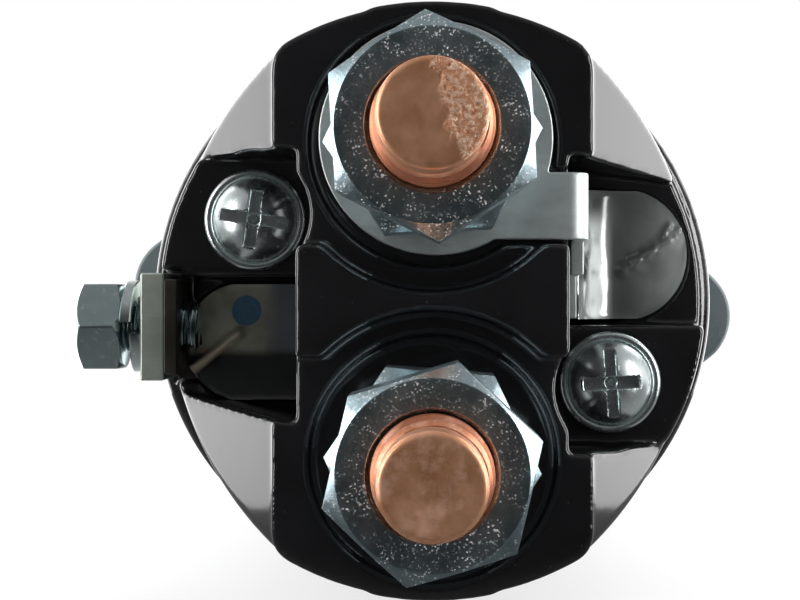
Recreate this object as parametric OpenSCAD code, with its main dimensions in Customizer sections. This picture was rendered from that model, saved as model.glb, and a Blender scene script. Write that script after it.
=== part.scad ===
// Starter solenoid relay: a steel case with two windings, a sliding plunger and a moulded terminal cap.
// Lengths are in millimetres. Pieces are drawn with the solenoid's axis along z, zero at the flange's
// seating face and the terminals at high z, and then laid down so that the terminals look along -Y.

/* [Flange] */
// Thickness of the mounting flange
flange_t = 5; // [4:0.5:7]
// Diameter of the circle through the two bolt holes
bolt_circle_d = 64; // [62:1:70]
// Diameter of a bolt hole
bolt_hole_d = 6.6; // [5.5:0.1:8]
// Radius of an ear round its bolt hole
ear_r = 6.8; // [6:0.2:9]
// Turn of the ears from the level, in degrees
flange_turn = -3.5; // [-10:0.5:10]
// Diameter of the locating spigot
pilot_d = 35; // [34:0.5:40]
// Height of the locating spigot
pilot_h = 3; // [2:0.5:5]

/* [Case] */
// Outer diameter of the steel case
case_d = 55.2; // [54:0.2:66]
// Wall of the case
case_wall = 1.8; // [1.2:0.1:2.6]
// Length of the case above the flange
case_len = 51; // [46:1:62]
// Thickness of the case's floor
case_floor_t = 2.5; // [1.5:0.5:4]

/* [Terminal cap] */
// Diameter of the moulded cap above its skirt
cap_d = 52.4; // [51:0.2:54]
// Height of the cap to the top of its band
cap_h = 24; // [22:0.5:30]
// Height of the skirt that meets the case
skirt_h = 4; // [2:0.5:5]
// Height of the pads that carry the cap screws
pad_h = 11.2; // [10:0.1:12.5]
// Height of the low ledge beside each pad, round the lead pocket
ledge_h = 6; // [5.4:0.1:6.8]
// Width of the raised band that carries the studs
band_w = 28.4; // [27:0.2:31]
// Radius of the band's corners
band_corner_r = 2.6; // [1:0.2:4]
// Width of the band between the two pads
waist_w = 24; // [23:0.2:25]
// Step from the band's top to the sloping shoulders
shoulder_drop = 2.2; // [1:0.1:4]
// Fall of the shoulders, as height over width
shoulder_fall = 1.5; // [1.2:0.05:1.6]
// Height of the barrier between the studs, above the band
barrier_h = 4; // [2:0.5:7]
// Length of the barrier's ends, along the line of the studs
barrier_len = 9.8; // [6:0.2:11]
// Radius round each stud that the barrier leaves free for a spanner
spanner_r = 13.1; // [12:0.1:13.5]
// Radius of the strap's lead pocket
strap_pocket_r = 6.5; // [6:0.1:6.6]
// Radius of the start terminal's lead pocket
start_pocket_r = 5.8; // [5.2:0.1:6]
// Depth of the pockets below their ledges
pocket_depth = 3.5; // [2.6:0.1:3.8]

/* [Studs and nuts] */
// Distance between the two studs
stud_gap = 27.8; // [26:0.2:29]
// Outer diameter of a stud's thread
stud_d = 10; // [9:0.5:10]
// Length of thread that stands out of the outer nut
stud_free = 4.3; // [3:0.1:8]
// Length of the plain point beyond the thread
stud_point = 4.7; // [3:0.1:6]
// Diameter of the plain point
stud_point_d = 8.5; // [7.5:0.1:8.8]
// Width across the flats of the stud nuts
nut_af = 16; // [15:0.5:18]
// Height of a stud nut
nut_h = 8; // [6:0.5:9]

/* [Motor strap] */
// Outer diameter of the strap's ring
strap_ring_d = 20.6; // [19:0.2:21]
// Thickness of the strap
strap_t = 1.2; // [0.8:0.1:1.5]
// Width of the strap's arm
strap_w = 5.9; // [4.5:0.1:6.5]

/* [Start terminal] */
// Side of the square clamp plate
clamp_side = 10; // [9:0.5:11]
// Thickness of the clamp plate
clamp_t = 2.2; // [1.5:0.1:3]
// Diameter of the start screw
start_screw_d = 5; // [4:0.5:5]
// Width across the flats of the start screw's head
start_head_af = 8; // [7:0.5:9]
// Height of the start screw's head
start_head_h = 4.1; // [3:0.1:4.5]
// Gap that the spring washer holds open
start_gap = 2.1; // [1.8:0.1:3]

/* [Plunger] */
// Diameter of the plunger
plunger_d = 26; // [24:0.5:26.5]
// Stroke of the plunger
stroke = 12; // [10:0.5:13]
// Reach of the plunger below the flange face at rest
plunger_out = 27; // [26:0.5:32]
// Diameter of the hook's rod
hook_rod_d = 9; // [7:0.5:9.5]
// Travel of the hook out of the plunger
hook_travel = 8; // [5:0.5:8.5]
// Width of the hook's eye
eye_w = 15; // [14:0.5:18]
// Thickness of the hook's eye
eye_t = 8; // [6:0.5:9]
// Width of the window in the eye
window_w = 7; // [6:0.5:8]
// Length of the window in the eye
window_len = 10; // [8:0.5:12]

/* [Contacts] */
// Gap between the moving contact and the stud heads
contact_gap = 2.8; // [2:0.1:3.2]
// Further travel of the rod once the contact has closed
contact_overtravel = 0.8; // [0.4:0.1:1.2]
// Length of the moving contact
contact_len = 38; // [36:0.5:42]
// Width of the moving contact
contact_w = 12; // [10:0.5:13]
// Thickness of the moving contact
contact_t = 2.2; // [1.6:0.1:2.6]
// Diameter of the contact rod
contact_rod_d = 6; // [5:0.5:7]

/* [Hidden] */

$fn = 96;
// Overrun of every cut past the face that it opens
over = 1;
// Running clearance of sliding pieces, on the radius
run_gap = 0.15;
// Clearance of a screw or stud in its hole, on the radius
hole_gap = 0.1;
// Clearance between pieces that lie side by side
side_gap = 0.3;
// Clearance between a thread and its nut, on the radius
thread_gap = 0.05;

// Flange and bores
bolt_r = bolt_circle_d / 2;
case_r = case_d / 2;
plunger_r = plunger_d / 2;
// Clearance of the plunger in the bores of the flange and the case, on the radius
bore_gap = 0.4;
bore_r = plunger_r + bore_gap;
pilot_r = pilot_d / 2;
pilot_chamfer = 0.6;

// Stations along the axis
case_z = flange_t;
cap_z = case_z + case_len;
gasket_t = 0.8;
core_plate_t = 5.2;
core_top_z = cap_z - gasket_t;
core_plate_z = core_top_z - core_plate_t;
coil_z = case_z + case_floor_t;
coil_h = core_plate_z - coil_z;

// Bobbin and windings
sleeve_wall = 0.85;
bobbin_flange_t = 1.2;
sleeve_r = plunger_r + run_gap;
sleeve_out_r = sleeve_r + sleeve_wall;
case_in_r = case_r - case_wall;
coil_out_r = case_in_r - side_gap;
coil_clear = 0.1;
// Share of the winding space that the pull-in winding fills
pull_in_share = 0.5;
coil_split_r = sleeve_out_r + (coil_out_r - sleeve_out_r) * pull_in_share;

// Fixed core, and the depth of its pole face behind the flange's back
pole_depth = 29;
pole_face_z = flange_t + pole_depth;
rod_r = contact_rod_d / 2;
rod_hole_r = rod_r + hole_gap;

// Cap
cap_r = cap_d / 2;
cap_top_z = cap_z + cap_h;
pad_z = cap_z + pad_h;
ledge_z = cap_z + ledge_h;
skirt_edge = 0.6;
band_half = band_w / 2;
waist_half = waist_w / 2;
// Reach of the side shelves from the middle: past the pads, and past the ledge on each side
shelf_far = 13.5;
shelf_near_start = 10.7;
shelf_near_strap = 13;
// Slant of the ledge's end over its depth
shelf_slant = 2.2;
// Edge of the pads from the middle, and how far pads and shoulders stand inside the cap's circle
pad_edge_y = 2.3;
pad_inset = 0.2;
shoulder_inset = 0.1;
shoulder_top_z = cap_top_z - shoulder_drop;
barrier_half_w = 11.8;
// Proud land at each end of the band
land_w = 11.2;
land_proud = 0.2;
// How far the band's round corners stand inside its sides
corner_step = 0.03;

// Cap screws
cap_screw_x = 16.8;
cap_screw_y = 7.7;
cap_screw_d = 5;
cap_screw_r = cap_screw_d / 2;
cap_head_r = 4.8;
cap_head_h = 3.1;
cap_head_rim_h = 0.9;
cap_head_dome_r = 3.95;
cap_screw_well_r = 6;
cap_screw_turns = [172, 94];
slot_w = 1.2;
slot_depth = 1.3;
cross_len = 5.4;
cross_depth = 2.1;

// Contact chamber inside the cap
chamber_half_w = 8.6;
chamber_half_len = 22;
chamber_corner_r = 2;
chamber_h = 15.8;
chamber_top_z = cap_z + chamber_h;
spring_pit_r = 4;
spring_pit_h = 4.2;

// Studs
stud_r = stud_d / 2;
stud_y = stud_gap / 2;
stud_hole_r = stud_r + hole_gap;
stud_head_side = 13;
// Radius that rounds the head's corners, as a share of its side
stud_corner_share = 0.62;
stud_head_t = 4;
stud_head_z = chamber_top_z - stud_head_t;
seat_r = 10.9;
seat_depth = 1;
seat_z = cap_top_z - seat_depth;
inner_nut_z = seat_z + strap_t;
battery_nut_z = seat_z;
// How much smaller the stud is inside its nuts, where the threads engage
thread_relief = 0.3;
nut_chamfer_share = 0.98;
nut_countersink = 0.55;
// How far each nut is turned about its stud: motor inner and outer, battery inner and outer
nut_turns = [3.6, 33.5, -4.5, 17];
seal_pit_r = 7;
seal_pit_h = 1.6;
seal_section_r = 0.75;

// Lead pockets
pocket_x = 18.4;
strap_pocket_y = 4.5;
start_pocket_y = 4;
pocket_z = ledge_z - pocket_depth;
trough_r = 7.5;
lead_r = 0.75;
lead_x = 22;
lead_y = 5.4;
lead_hole_r = lead_r + hole_gap;

// Radius of the solder joints, and how far the resin stays under the ledge
joint_r = 1.7;
potting_drop = 0.2;
// Depth of the bracket's foot under the top of the ledge, so that the resin covers it
foot_cover = 0.4;

// Start terminal, and the height of its axis over the cap's foot
start_rise = 10;
start_y = -2.4;
start_z = cap_z + start_rise;
bracket_t = 1.2;
bracket_x = 23.75;
bracket_leg_half = 4.4;
bracket_z = ledge_z - bracket_t - foot_cover;
bracket_foot_in = 19.5;
bracket_foot_half = 3.6;
notch_z = bracket_z - side_gap;
clamp_x = bracket_x + bracket_t;
start_screw_r = start_screw_d / 2;
start_head_x = clamp_x + clamp_t + start_gap;
start_reach = 22.1;
// Width of the spring washer's ring beyond the screw, and the flat of the screw's head
start_washer_w = 1.9;
start_flat_share = 0.96;

// Motor strap
strap_shift_x = 0.3;
strap_shift_y = 0.4;
strap_hole_r = stud_r + bore_gap;
strap_arm_y = 5.4;
strap_leg_x = waist_half + side_gap + side_gap;
strap_bend_r = 1.8;
// Drop of the strap's foot under the ledge, the inside radius of the bend above it, and its flat end
strap_foot_drop = 0.2;
strap_foot_bend = 3.4;
strap_foot_flat = 0.9;
// Heights over the cap's foot at which the strap's leg widens
strap_step_rise = 18;
strap_wide_rise = 10;
// The leg widens towards its foot in two steps, each with its level and its lower edge
strap_step_z = cap_z + strap_step_rise;
strap_step_y = 2.4;
strap_wide_z = cap_z + strap_wide_rise;
strap_foot_y = -1.7;
strap_foot_w = 8.5;
strap_foot_z = ledge_z - strap_t - strap_foot_drop;
strap_foot_x = strap_leg_x + strap_t + strap_foot_bend + strap_foot_flat;

// Plunger and hook
pole_rest_gap = 0.2;
plunger_in_z = pole_face_z - stroke - pole_rest_gap;
plunger_edge = 0.8;
hook_r = hook_rod_d / 2;
cavity_r = 8.4;
// Length of the cavity beyond the hook's travel, for the hook's head and the closed spring
spring_nest = 14;
cavity_len = hook_travel + spring_nest;
end_washer_t = 2;
end_washer_r = 10;
cavity_z = -plunger_out + end_washer_t;
hook_head_r = 8;
hook_head_t = 2;
hook_head_z = cavity_z + cavity_len - side_gap - hook_head_t;
eye_gap = 5;
eye_z = -plunger_out - eye_gap;
eye_frame = 5;
eye_edge_r = 3;
window_edge_r = 1;

// Return spring round the plunger
spring_wire_r = 0.75;
spring_turns = 4.9;
spring_mean_r = (bore_r + pilot_r) / 2 - hole_gap;
retainer_t = 1.2;
snap_t = 1.2;
snap_groove = 0.8;
snap_out = 1.6;
snap_z = -plunger_out + snap_t;
retainer_z = snap_z + snap_t;
retainer_r = pilot_r - bore_gap;
return_spring_len = -pilot_h - retainer_z - retainer_t;

// Engaging spring inside the plunger
engage_wire_r = 0.8;
engage_turns = 6.6;
engage_mean_r = 6.4;
engage_len = hook_head_z - cavity_z;

// Moving contact
contact_top_z = stud_head_z - contact_gap;
contact_z = contact_top_z - contact_t;
insulator_t = 1;
insulator_r = 4.6;
rod_neck_r = 1.9;
collar_r = 5.2;
collar_t = 1;
collar_z = core_top_z + hole_gap;
contact_touch_gap = 0.05;
rod_travel = contact_gap - contact_touch_gap + contact_overtravel;
push_gap = 0.1;
rod_low_z = pole_face_z - pole_rest_gap - rod_travel + push_gap;
clip_t = 0.8;
clip_r = 3.5;
clip_z = contact_top_z + insulator_t;
rod_end_z = clip_z + clip_t + insulator_t;
contact_wire_r = 0.5;
contact_turns = 2.9;
contact_spring_r = 3.9;
contact_spring_len = contact_z - insulator_t - collar_z - collar_t;
lift_wire_r = 0.4;
lift_turns = 5;
lift_spring_r = 2.8;
lift_spring_len = chamber_top_z + spring_pit_h - clip_z - clip_t;

// Springs and the spring washer are swept tubes: rings to a turn, and sides to a ring
ring_count = 8;
side_count = 6;

// Lays the solenoid down, so that its axis is along Y and its terminals look along -Y
module lay() {
    rotate([90, 0, 0]) children();
}

// Places its child on both sides of the axis, half a turn apart
module both_sides() {
    for (turn = [0, 180]) rotate([0, 0, turn]) children();
}

// A tube along the axis
module tube(r_out, r_in, h) {
    difference() {
        cylinder(r = r_out, h = h);
        translate([0, 0, -over]) cylinder(r = r_in, h = h + 2 * over);
    }
}

// A disc or rod with both end edges broken
module rod(r, h, edge) {
    rotate_extrude()
        polygon([[0, 0], [r - edge, 0], [r, edge], [r, h - edge], [r - edge, h], [0, h]]);
}

// A rectangle with round corners, drawn exactly
module round_box_2d(half_x, half_y, r) {
    square([2 * (half_x - r), 2 * half_y], center = true);
    square([2 * half_x, 2 * (half_y - r)], center = true);
    for (sx = [-1, 1], sy = [-1, 1]) translate([sx * (half_x - r), sy * (half_y - r)]) circle(r = r);
}

// Centre points of a helix from z = wire to z = length - wire
function helix(mean_r, wire_r, length, turns) = [
    for (i = [0 : round(turns * ring_count)])
        let (share = i / round(turns * ring_count), a = 360 * turns * share)
            [mean_r * cos(a), mean_r * sin(a), wire_r + (length - 2 * wire_r) * share]
];

// Section of a round wire, as radial and axial steps
function round_section(wire_r) = [
    for (k = [0 : side_count - 1]) wire_r * [cos(360 * k / side_count), sin(360 * k / side_count)]
];

// Triangles of a swept tube with closed ends
function tube_faces(rings, sides) = concat(
    [for (i = [0 : rings - 2], k = [0 : sides - 1])
        [i * sides + k, i * sides + (k + 1) % sides, (i + 1) * sides + (k + 1) % sides]],
    [for (i = [0 : rings - 2], k = [0 : sides - 1])
        [i * sides + k, (i + 1) * sides + (k + 1) % sides, (i + 1) * sides + k]],
    [for (k = [1 : sides - 2]) [0, k + 1, k]],
    [for (k = [1 : sides - 2]) let (last = (rings - 1) * sides) [last, last + k, last + k + 1]]
);

// Sweeps a section of radial and axial steps along points round the axis
module sweep(path, section) {
    points = [for (p = path, s = section)
        let (r = norm([p[0], p[1]])) [p[0] * (1 + s[0] / r), p[1] * (1 + s[0] / r), p[2] + s[1]]];
    polyhedron(points = points, faces = tube_faces(len(path), len(section)));
}

// Least free gap of a wire to its own next turn, measured on its points
function self_gap(path, wire_r) = min([
    for (i = [0 : len(path) - 1], j = [i + ring_count - 1 : i + ring_count + 1])
        if (j < len(path)) norm(path[j] - path[i])
]) - 2 * wire_r;

// An open-ended coil spring standing on z = 0
module coil_spring(mean_r, wire_r, length, turns) {
    path = helix(mean_r, wire_r, length, turns);
    echo(least_gap = self_gap(path, wire_r));
    sweep(path, round_section(wire_r));
}

// Outline of the flange: a disc with two ears, joined by their common tangents
module flange_outline() {
    lean = acos((case_r - ear_r) / bolt_r);
    circle(r = case_r);
    both_sides() {
        translate([bolt_r, 0]) circle(r = ear_r);
        polygon([
            case_r * [cos(lean), sin(lean)], [bolt_r, 0] + ear_r * [cos(lean), sin(lean)],
            [bolt_r, 0] + ear_r * [cos(lean), -sin(lean)], case_r * [cos(lean), -sin(lean)]
        ]);
    }
}

module mounting_flange() {
    color([0.07, 0.07, 0.07]) lay() difference() {
        union() {
            rotate([0, 0, flange_turn]) linear_extrude(flange_t) flange_outline();
            translate([0, 0, -pilot_h]) rotate_extrude()
                polygon([[0, 0], [pilot_r - pilot_chamfer, 0], [pilot_r, pilot_chamfer],
                    [pilot_r, pilot_h], [0, pilot_h]]);
        }
        translate([0, 0, -pilot_h - over]) cylinder(r = bore_r, h = pilot_h + flange_t + 2 * over);
        rotate([0, 0, flange_turn]) both_sides() translate([bolt_r, 0, -over])
            cylinder(r = bolt_hole_d / 2, h = flange_t + 2 * over);
    }
}

module case_shell() {
    foot_edge = 1.5;
    color([0.06, 0.06, 0.06]) lay() translate([0, 0, case_z]) difference() {
        rotate_extrude() polygon([
            [0, 0], [case_r - foot_edge, 0], [case_r, foot_edge], [case_r, case_len], [0, case_len]
        ]);
        translate([0, 0, case_floor_t]) cylinder(r = case_in_r, h = case_len);
        translate([0, 0, -over]) cylinder(r = bore_r, h = case_floor_t + 2 * over);
    }
}

module bobbin() {
    color([0.75, 0.68, 0.45]) lay() translate([0, 0, coil_z]) {
        tube(sleeve_out_r, sleeve_r, coil_h);
        for (z = [0, coil_h - bobbin_flange_t]) translate([0, 0, z])
            tube(coil_out_r, sleeve_out_r - sleeve_wall / 2, bobbin_flange_t);
    }
}

// One winding between the bobbin's flanges
module winding(r_in, r_out) {
    translate([0, 0, coil_z + bobbin_flange_t + coil_clear])
        tube(r_out, r_in, coil_h - 2 * (bobbin_flange_t + coil_clear));
}

module pull_in_winding() {
    color([0.6, 0.28, 0.12]) lay() winding(sleeve_out_r + coil_clear, coil_split_r);
}

module hold_in_winding() {
    color([0.65, 0.32, 0.15]) lay() winding(coil_split_r + coil_clear, coil_out_r);
}

module fixed_core() {
    color([0.55, 0.56, 0.58]) lay() difference() {
        union() {
            translate([0, 0, core_plate_z]) cylinder(r = coil_out_r, h = core_plate_t);
            translate([0, 0, pole_face_z]) cylinder(r = plunger_r, h = core_top_z - pole_face_z);
        }
        translate([0, 0, pole_face_z - over])
            cylinder(r = rod_hole_r, h = core_top_z - pole_face_z + 2 * over);
        both_sides() {
            translate([-cap_screw_x, cap_screw_y, core_plate_z - over])
                cylinder(r = cap_screw_r + thread_gap, h = core_plate_t + 2 * over);
            translate([lead_x, lead_y, core_plate_z - over])
                cylinder(r = lead_hole_r, h = core_plate_t + 2 * over);
        }
    }
}

module cap_gasket() {
    gasket_w = 1.6;
    color([0.1, 0.1, 0.1]) lay() translate([0, 0, core_top_z])
        tube(coil_out_r, coil_out_r - gasket_w, gasket_t);
}

// Outline of the band: the cap's circle cut to the band's width, with round corners
module band_outline() {
    corner = [band_half - band_corner_r,
        sqrt(pow(cap_r - band_corner_r, 2) - pow(band_half - band_corner_r, 2))];
    lean = atan2(corner[1], corner[0]);
    wedge = 3 * band_corner_r;
    difference() {
        intersection() {
            circle(r = cap_r);
            square([band_w, cap_d], center = true);
        }
        for (sx = [-1, 1], sy = [-1, 1]) scale([sx, sy])
            polygon([corner, corner + [wedge, 0], corner + wedge * [cos(lean), sin(lean)]]);
    }
    for (sx = [-1, 1], sy = [-1, 1]) translate([sx * corner[0], sy * corner[1]])
        circle(r = band_corner_r - corner_step);
}

// Sloping shoulders on both sides of the band, just inside the cap's own circle
module shoulders() {
    foot_z = shoulder_top_z - (cap_r - band_half) * shoulder_fall;
    intersection() {
        translate([0, 0, cap_z]) cylinder(r = cap_r - shoulder_inset, h = cap_h);
        rotate([90, 0, 0]) linear_extrude(cap_d, center = true) polygon([
            [-cap_r, cap_z], [-cap_r, foot_z], [-band_half, shoulder_top_z],
            [band_half, shoulder_top_z], [cap_r, foot_z], [cap_r, cap_z]
        ]);
    }
}

// Insulating barrier between the studs, hollowed on both sides for a spanner
module barrier() {
    translate([0, 0, cap_top_z]) linear_extrude(barrier_h) difference() {
        square([2 * barrier_half_w, barrier_len], center = true);
        for (sy = [-1, 1]) translate([0, sy * stud_y]) circle(r = spanner_r);
    }
}

// Room over one side's shelf, down to its ledge; near is its reach on the pocket's side
module shelf_room(near) {
    translate([0, 0, ledge_z]) linear_extrude(cap_h) polygon([
        [-waist_half, shelf_far], [-case_r, shelf_far], [-case_r, shelf_slant - near],
        [-waist_half, -near]
    ]);
}

// The pad that carries a cap screw
module pad() {
    intersection() {
        translate([0, 0, cap_z]) cylinder(r = cap_r - pad_inset, h = pad_h);
        translate([-case_r, pad_edge_y, cap_z])
            cube([case_r - waist_half + over, shelf_far - pad_edge_y, pad_h]);
    }
}

// A lead's pocket below its ledge: a trough with a round end
module pocket(r, y) {
    intersection() {
        translate([0, 0, pocket_z - over]) linear_extrude(pocket_depth + over) {
            translate([-pocket_x, -y]) circle(r = r);
            translate([-pocket_x, -y - r]) square([pocket_x - waist_half, 2 * r]);
        }
        translate([-waist_half, -y, pocket_z + trough_r]) rotate([0, -90, 0])
            cylinder(r = trough_r, h = case_r);
    }
}

module start_pocket() {
    pocket(start_pocket_r, start_pocket_y);
}

module strap_pocket() {
    rotate([0, 0, 180]) pocket(strap_pocket_r, strap_pocket_y);
}

module terminal_cap() {
    notch_low = start_y - clamp_side / 2 - side_gap;
    color([0.03, 0.03, 0.035]) lay() difference() {
        union() {
            difference() {
                union() {
                    translate([0, 0, cap_z]) rotate_extrude() polygon([
                        [0, 0], [case_r, 0], [case_r, skirt_h - skirt_edge],
                        [case_r - skirt_edge, skirt_h], [0, skirt_h]
                    ]);
                    translate([0, 0, cap_z]) cylinder(r = cap_r, h = ledge_h);
                    translate([0, 0, cap_z]) linear_extrude(cap_h) band_outline();
                    shoulders();
                    barrier();
                    intersection() {
                        translate([0, 0, cap_z]) cylinder(r = cap_r + land_proud, h = cap_h);
                        translate([-land_w / 2, -case_r, cap_z]) cube([land_w, case_d, cap_h]);
                    }
                }
                shelf_room(shelf_near_start);
                rotate([0, 0, 180]) shelf_room(shelf_near_strap);
            }
            both_sides() pad();
        }
        both_sides() translate([-cap_screw_x, cap_screw_y, pad_z])
            cylinder(r = cap_screw_well_r, h = cap_h);
        start_pocket();
        strap_pocket();
        both_sides() {
            translate([-cap_screw_x, cap_screw_y, cap_z - over])
                cylinder(r = cap_screw_r + hole_gap, h = cap_h);
            translate([lead_x, lead_y, cap_z - over]) cylinder(r = lead_hole_r, h = ledge_h + over);
        }
        // seats of the bracket's foot and leg, and of the strap's foot
        translate([-case_r - over, -start_pocket_y - bracket_foot_half - side_gap, notch_z])
            cube([case_r + over - bracket_foot_in + side_gap,
                2 * (bracket_foot_half + side_gap), cap_h]);
        translate([-case_r - over, notch_low, notch_z])
            cube([case_r + over - bracket_x + side_gap, clamp_side + 2 * side_gap, cap_h]);
        translate([waist_half, strap_foot_y - side_gap, strap_foot_z - side_gap])
            cube([strap_foot_x - waist_half + side_gap, strap_foot_w + 2 * side_gap, cap_h]);
        for (sy = [-1, 1]) translate([0, sy * stud_y, 0]) {
            translate([0, 0, seat_z]) cylinder(r = seat_r, h = cap_h);
            translate([0, 0, cap_z]) cylinder(r = stud_hole_r, h = cap_h + over);
            translate([0, 0, chamber_top_z - over]) cylinder(r = seal_pit_r, h = seal_pit_h + over);
        }
        translate([0, strap_arm_y - side_gap, seat_z])
            cube([waist_half + over, strap_w + 2 * side_gap, cap_h]);
        translate([0, 0, cap_z - over]) linear_extrude(chamber_h + over)
            round_box_2d(chamber_half_w, chamber_half_len, chamber_corner_r);
        translate([0, 0, chamber_top_z - over]) cylinder(r = spring_pit_r, h = spring_pit_h + over);
    }
}

// A pan-head screw with a flat rim and a combined slot and cross recess, its head standing on z = 0
module cap_screw(turn) {
    dome_h = cap_head_h - cap_head_rim_h;
    dome_r = (pow(cap_head_dome_r, 2) + pow(dome_h, 2)) / (2 * dome_h);
    shank = pad_z - core_plate_z;
    rotate([0, 0, turn]) difference() {
        union() {
            translate([0, 0, -shank]) cylinder(r = cap_screw_r, h = shank);
            cylinder(r = cap_head_r, h = cap_head_rim_h);
            intersection() {
                translate([0, 0, cap_head_h - dome_r]) sphere(r = dome_r);
                cylinder(r = cap_head_dome_r, h = cap_head_h);
            }
        }
        translate([-cap_head_dome_r, -slot_w / 2, cap_head_h - slot_depth])
            cube([2 * cap_head_dome_r, slot_w, cap_head_h]);
        translate([-slot_w / 2, -cross_len / 2, cap_head_h - slot_depth])
            cube([slot_w, cross_len, cap_head_h]);
        translate([0, 0, cap_head_h - cross_depth])
            cylinder(r1 = slot_w / 4, r2 = slot_w, h = cross_depth);
    }
}

module cap_screws() {
    color([0.6, 0.63, 0.66]) lay() {
        translate([-cap_screw_x, cap_screw_y, pad_z]) cap_screw(cap_screw_turns[0]);
        translate([cap_screw_x, -cap_screw_y, pad_z]) cap_screw(cap_screw_turns[1]);
    }
}

// A copper stud with a square head in the chamber; nut_top is the outer nut's top
module stud(nut_top) {
    thread_edge = 0.75;
    point_edge = 0.5;
    point_r = stud_point_d / 2;
    thread_end = nut_top + stud_free;
    point_end = thread_end + stud_point;
    intersection() {
        translate([-stud_head_side / 2, -stud_head_side / 2, stud_head_z])
            cube([stud_head_side, stud_head_side, stud_head_t]);
        translate([0, 0, stud_head_z]) rod(stud_head_side * stud_corner_share, stud_head_t, stud_head_t / 8);
    }
    rotate_extrude() polygon([
        [0, stud_head_z + stud_head_t / 2], [stud_r, stud_head_z + stud_head_t / 2],
        [stud_r, cap_top_z - seat_depth], [stud_r - thread_relief, cap_top_z - seat_depth],
        [stud_r - thread_relief, nut_top], [stud_r, nut_top], [stud_r, thread_end - thread_edge],
        [point_r, thread_end], [point_r, point_end - point_edge], [point_r - point_edge, point_end],
        [0, point_end]
    ]);
}

module motor_stud() {
    color([0.75, 0.42, 0.27]) lay() translate([0, stud_y, 0]) stud(inner_nut_z + 2 * nut_h);
}

module battery_stud() {
    color([0.75, 0.42, 0.27]) lay() translate([0, -stud_y, 0]) stud(battery_nut_z + 2 * nut_h);
}

module stud_seals() {
    ring_r = stud_hole_r + seal_section_r;
    color([0.12, 0.1, 0.1]) lay() for (sy = [-1, 1])
        translate([0, sy * stud_y, chamber_top_z + seal_pit_h / 2]) rotate_extrude()
            translate([ring_r, 0]) circle(r = seal_section_r, $fn = 32);
}

// A hexagon nut standing on z = 0, chamfered on both faces and countersunk for the thread
module stud_nut() {
    corner_r = nut_af / 2 / cos(30);
    flat_r = nut_af / 2 * nut_chamfer_share;
    fall = (corner_r - flat_r) * tan(30);
    sink_r = stud_r + nut_countersink;
    bore = stud_r - thread_relief + thread_gap;
    difference() {
        intersection() {
            cylinder(r = corner_r, h = nut_h, $fn = 6);
            rotate_extrude() polygon([[0, 0], [flat_r, 0], [corner_r, fall],
                [corner_r, nut_h - fall], [flat_r, nut_h], [0, nut_h]]);
        }
        translate([0, 0, -over]) cylinder(r = bore, h = nut_h + 2 * over);
        for (z = [0, nut_h]) translate([0, 0, z]) rotate_extrude()
            polygon([[0, bore - sink_r], [bore, bore - sink_r], [sink_r, 0],
                [bore, sink_r - bore], [0, sink_r - bore]]);
    }
}

// A nut on one of the studs, turned as it happens to be tightened
module nut_at(y, z, turn) {
    color([0.62, 0.65, 0.68]) lay() translate([0, y, z]) rotate([0, 0, turn]) stud_nut();
}

module motor_inner_nut() { nut_at(stud_y, inner_nut_z, nut_turns[0]); }
module motor_cable_nut() { nut_at(stud_y, inner_nut_z + nut_h, nut_turns[1]); }
module battery_inner_nut() { nut_at(-stud_y, battery_nut_z, nut_turns[2]); }
module battery_cable_nut() { nut_at(-stud_y, battery_nut_z + nut_h, nut_turns[3]); }

// Plan of the strap on its seat: the ring and the arm that leaves it
module strap_plan(arm_x) {
    difference() {
        union() {
            translate([strap_shift_x, stud_y + strap_shift_y]) circle(r = strap_ring_d / 2);
            translate([0, strap_arm_y]) square([arm_x, strap_w]);
        }
        translate([strap_shift_x / 2, stud_y + strap_shift_y / 2]) circle(r = strap_hole_r);
    }
}

module motor_strap() {
    leg_out = strap_leg_x + strap_t;
    bend_z = seat_z + strap_t - strap_bend_r;
    foot_bend_z = strap_foot_z + strap_t + strap_foot_bend;
    arm_end = strap_arm_y + strap_w;
    foot_end = strap_foot_y + strap_foot_w;
    color([0.68, 0.7, 0.7]) lay() {
        translate([0, 0, seat_z]) linear_extrude(strap_t) strap_plan(leg_out - strap_bend_r);
        // bend from the arm into the leg
        translate([leg_out - strap_bend_r, strap_arm_y + strap_w, bend_z]) rotate([90, 0, 0])
            linear_extrude(strap_w) intersection() {
                difference() {
                    circle(r = strap_bend_r);
                    circle(r = strap_bend_r - strap_t);
                }
                square([strap_bend_r, strap_bend_r]);
            }
        // the leg widens in two steps on its way down to the foot in the pocket
        translate([strap_leg_x, 0, 0]) rotate([90, 0, 90]) linear_extrude(strap_t) polygon([
            [arm_end, bend_z], [arm_end, strap_wide_z], [foot_end, strap_wide_z],
            [foot_end, foot_bend_z], [strap_foot_y, foot_bend_z], [strap_foot_y, strap_wide_z],
            [strap_step_y, strap_wide_z], [strap_step_y, strap_step_z],
            [strap_arm_y, strap_step_z], [strap_arm_y, bend_z]
        ]);
        translate([leg_out + strap_foot_bend, foot_end, foot_bend_z]) rotate([90, 0, 0])
            linear_extrude(strap_foot_w) intersection() {
                difference() {
                    circle(r = strap_foot_bend + strap_t);
                    circle(r = strap_foot_bend);
                }
                translate([-strap_foot_bend - strap_t, -strap_foot_bend - strap_t])
                    square(strap_foot_bend + strap_t);
            }
        translate([leg_out + strap_foot_bend, strap_foot_y, strap_foot_z])
            cube([strap_foot_flat, strap_foot_w, strap_t]);
    }
}

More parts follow.
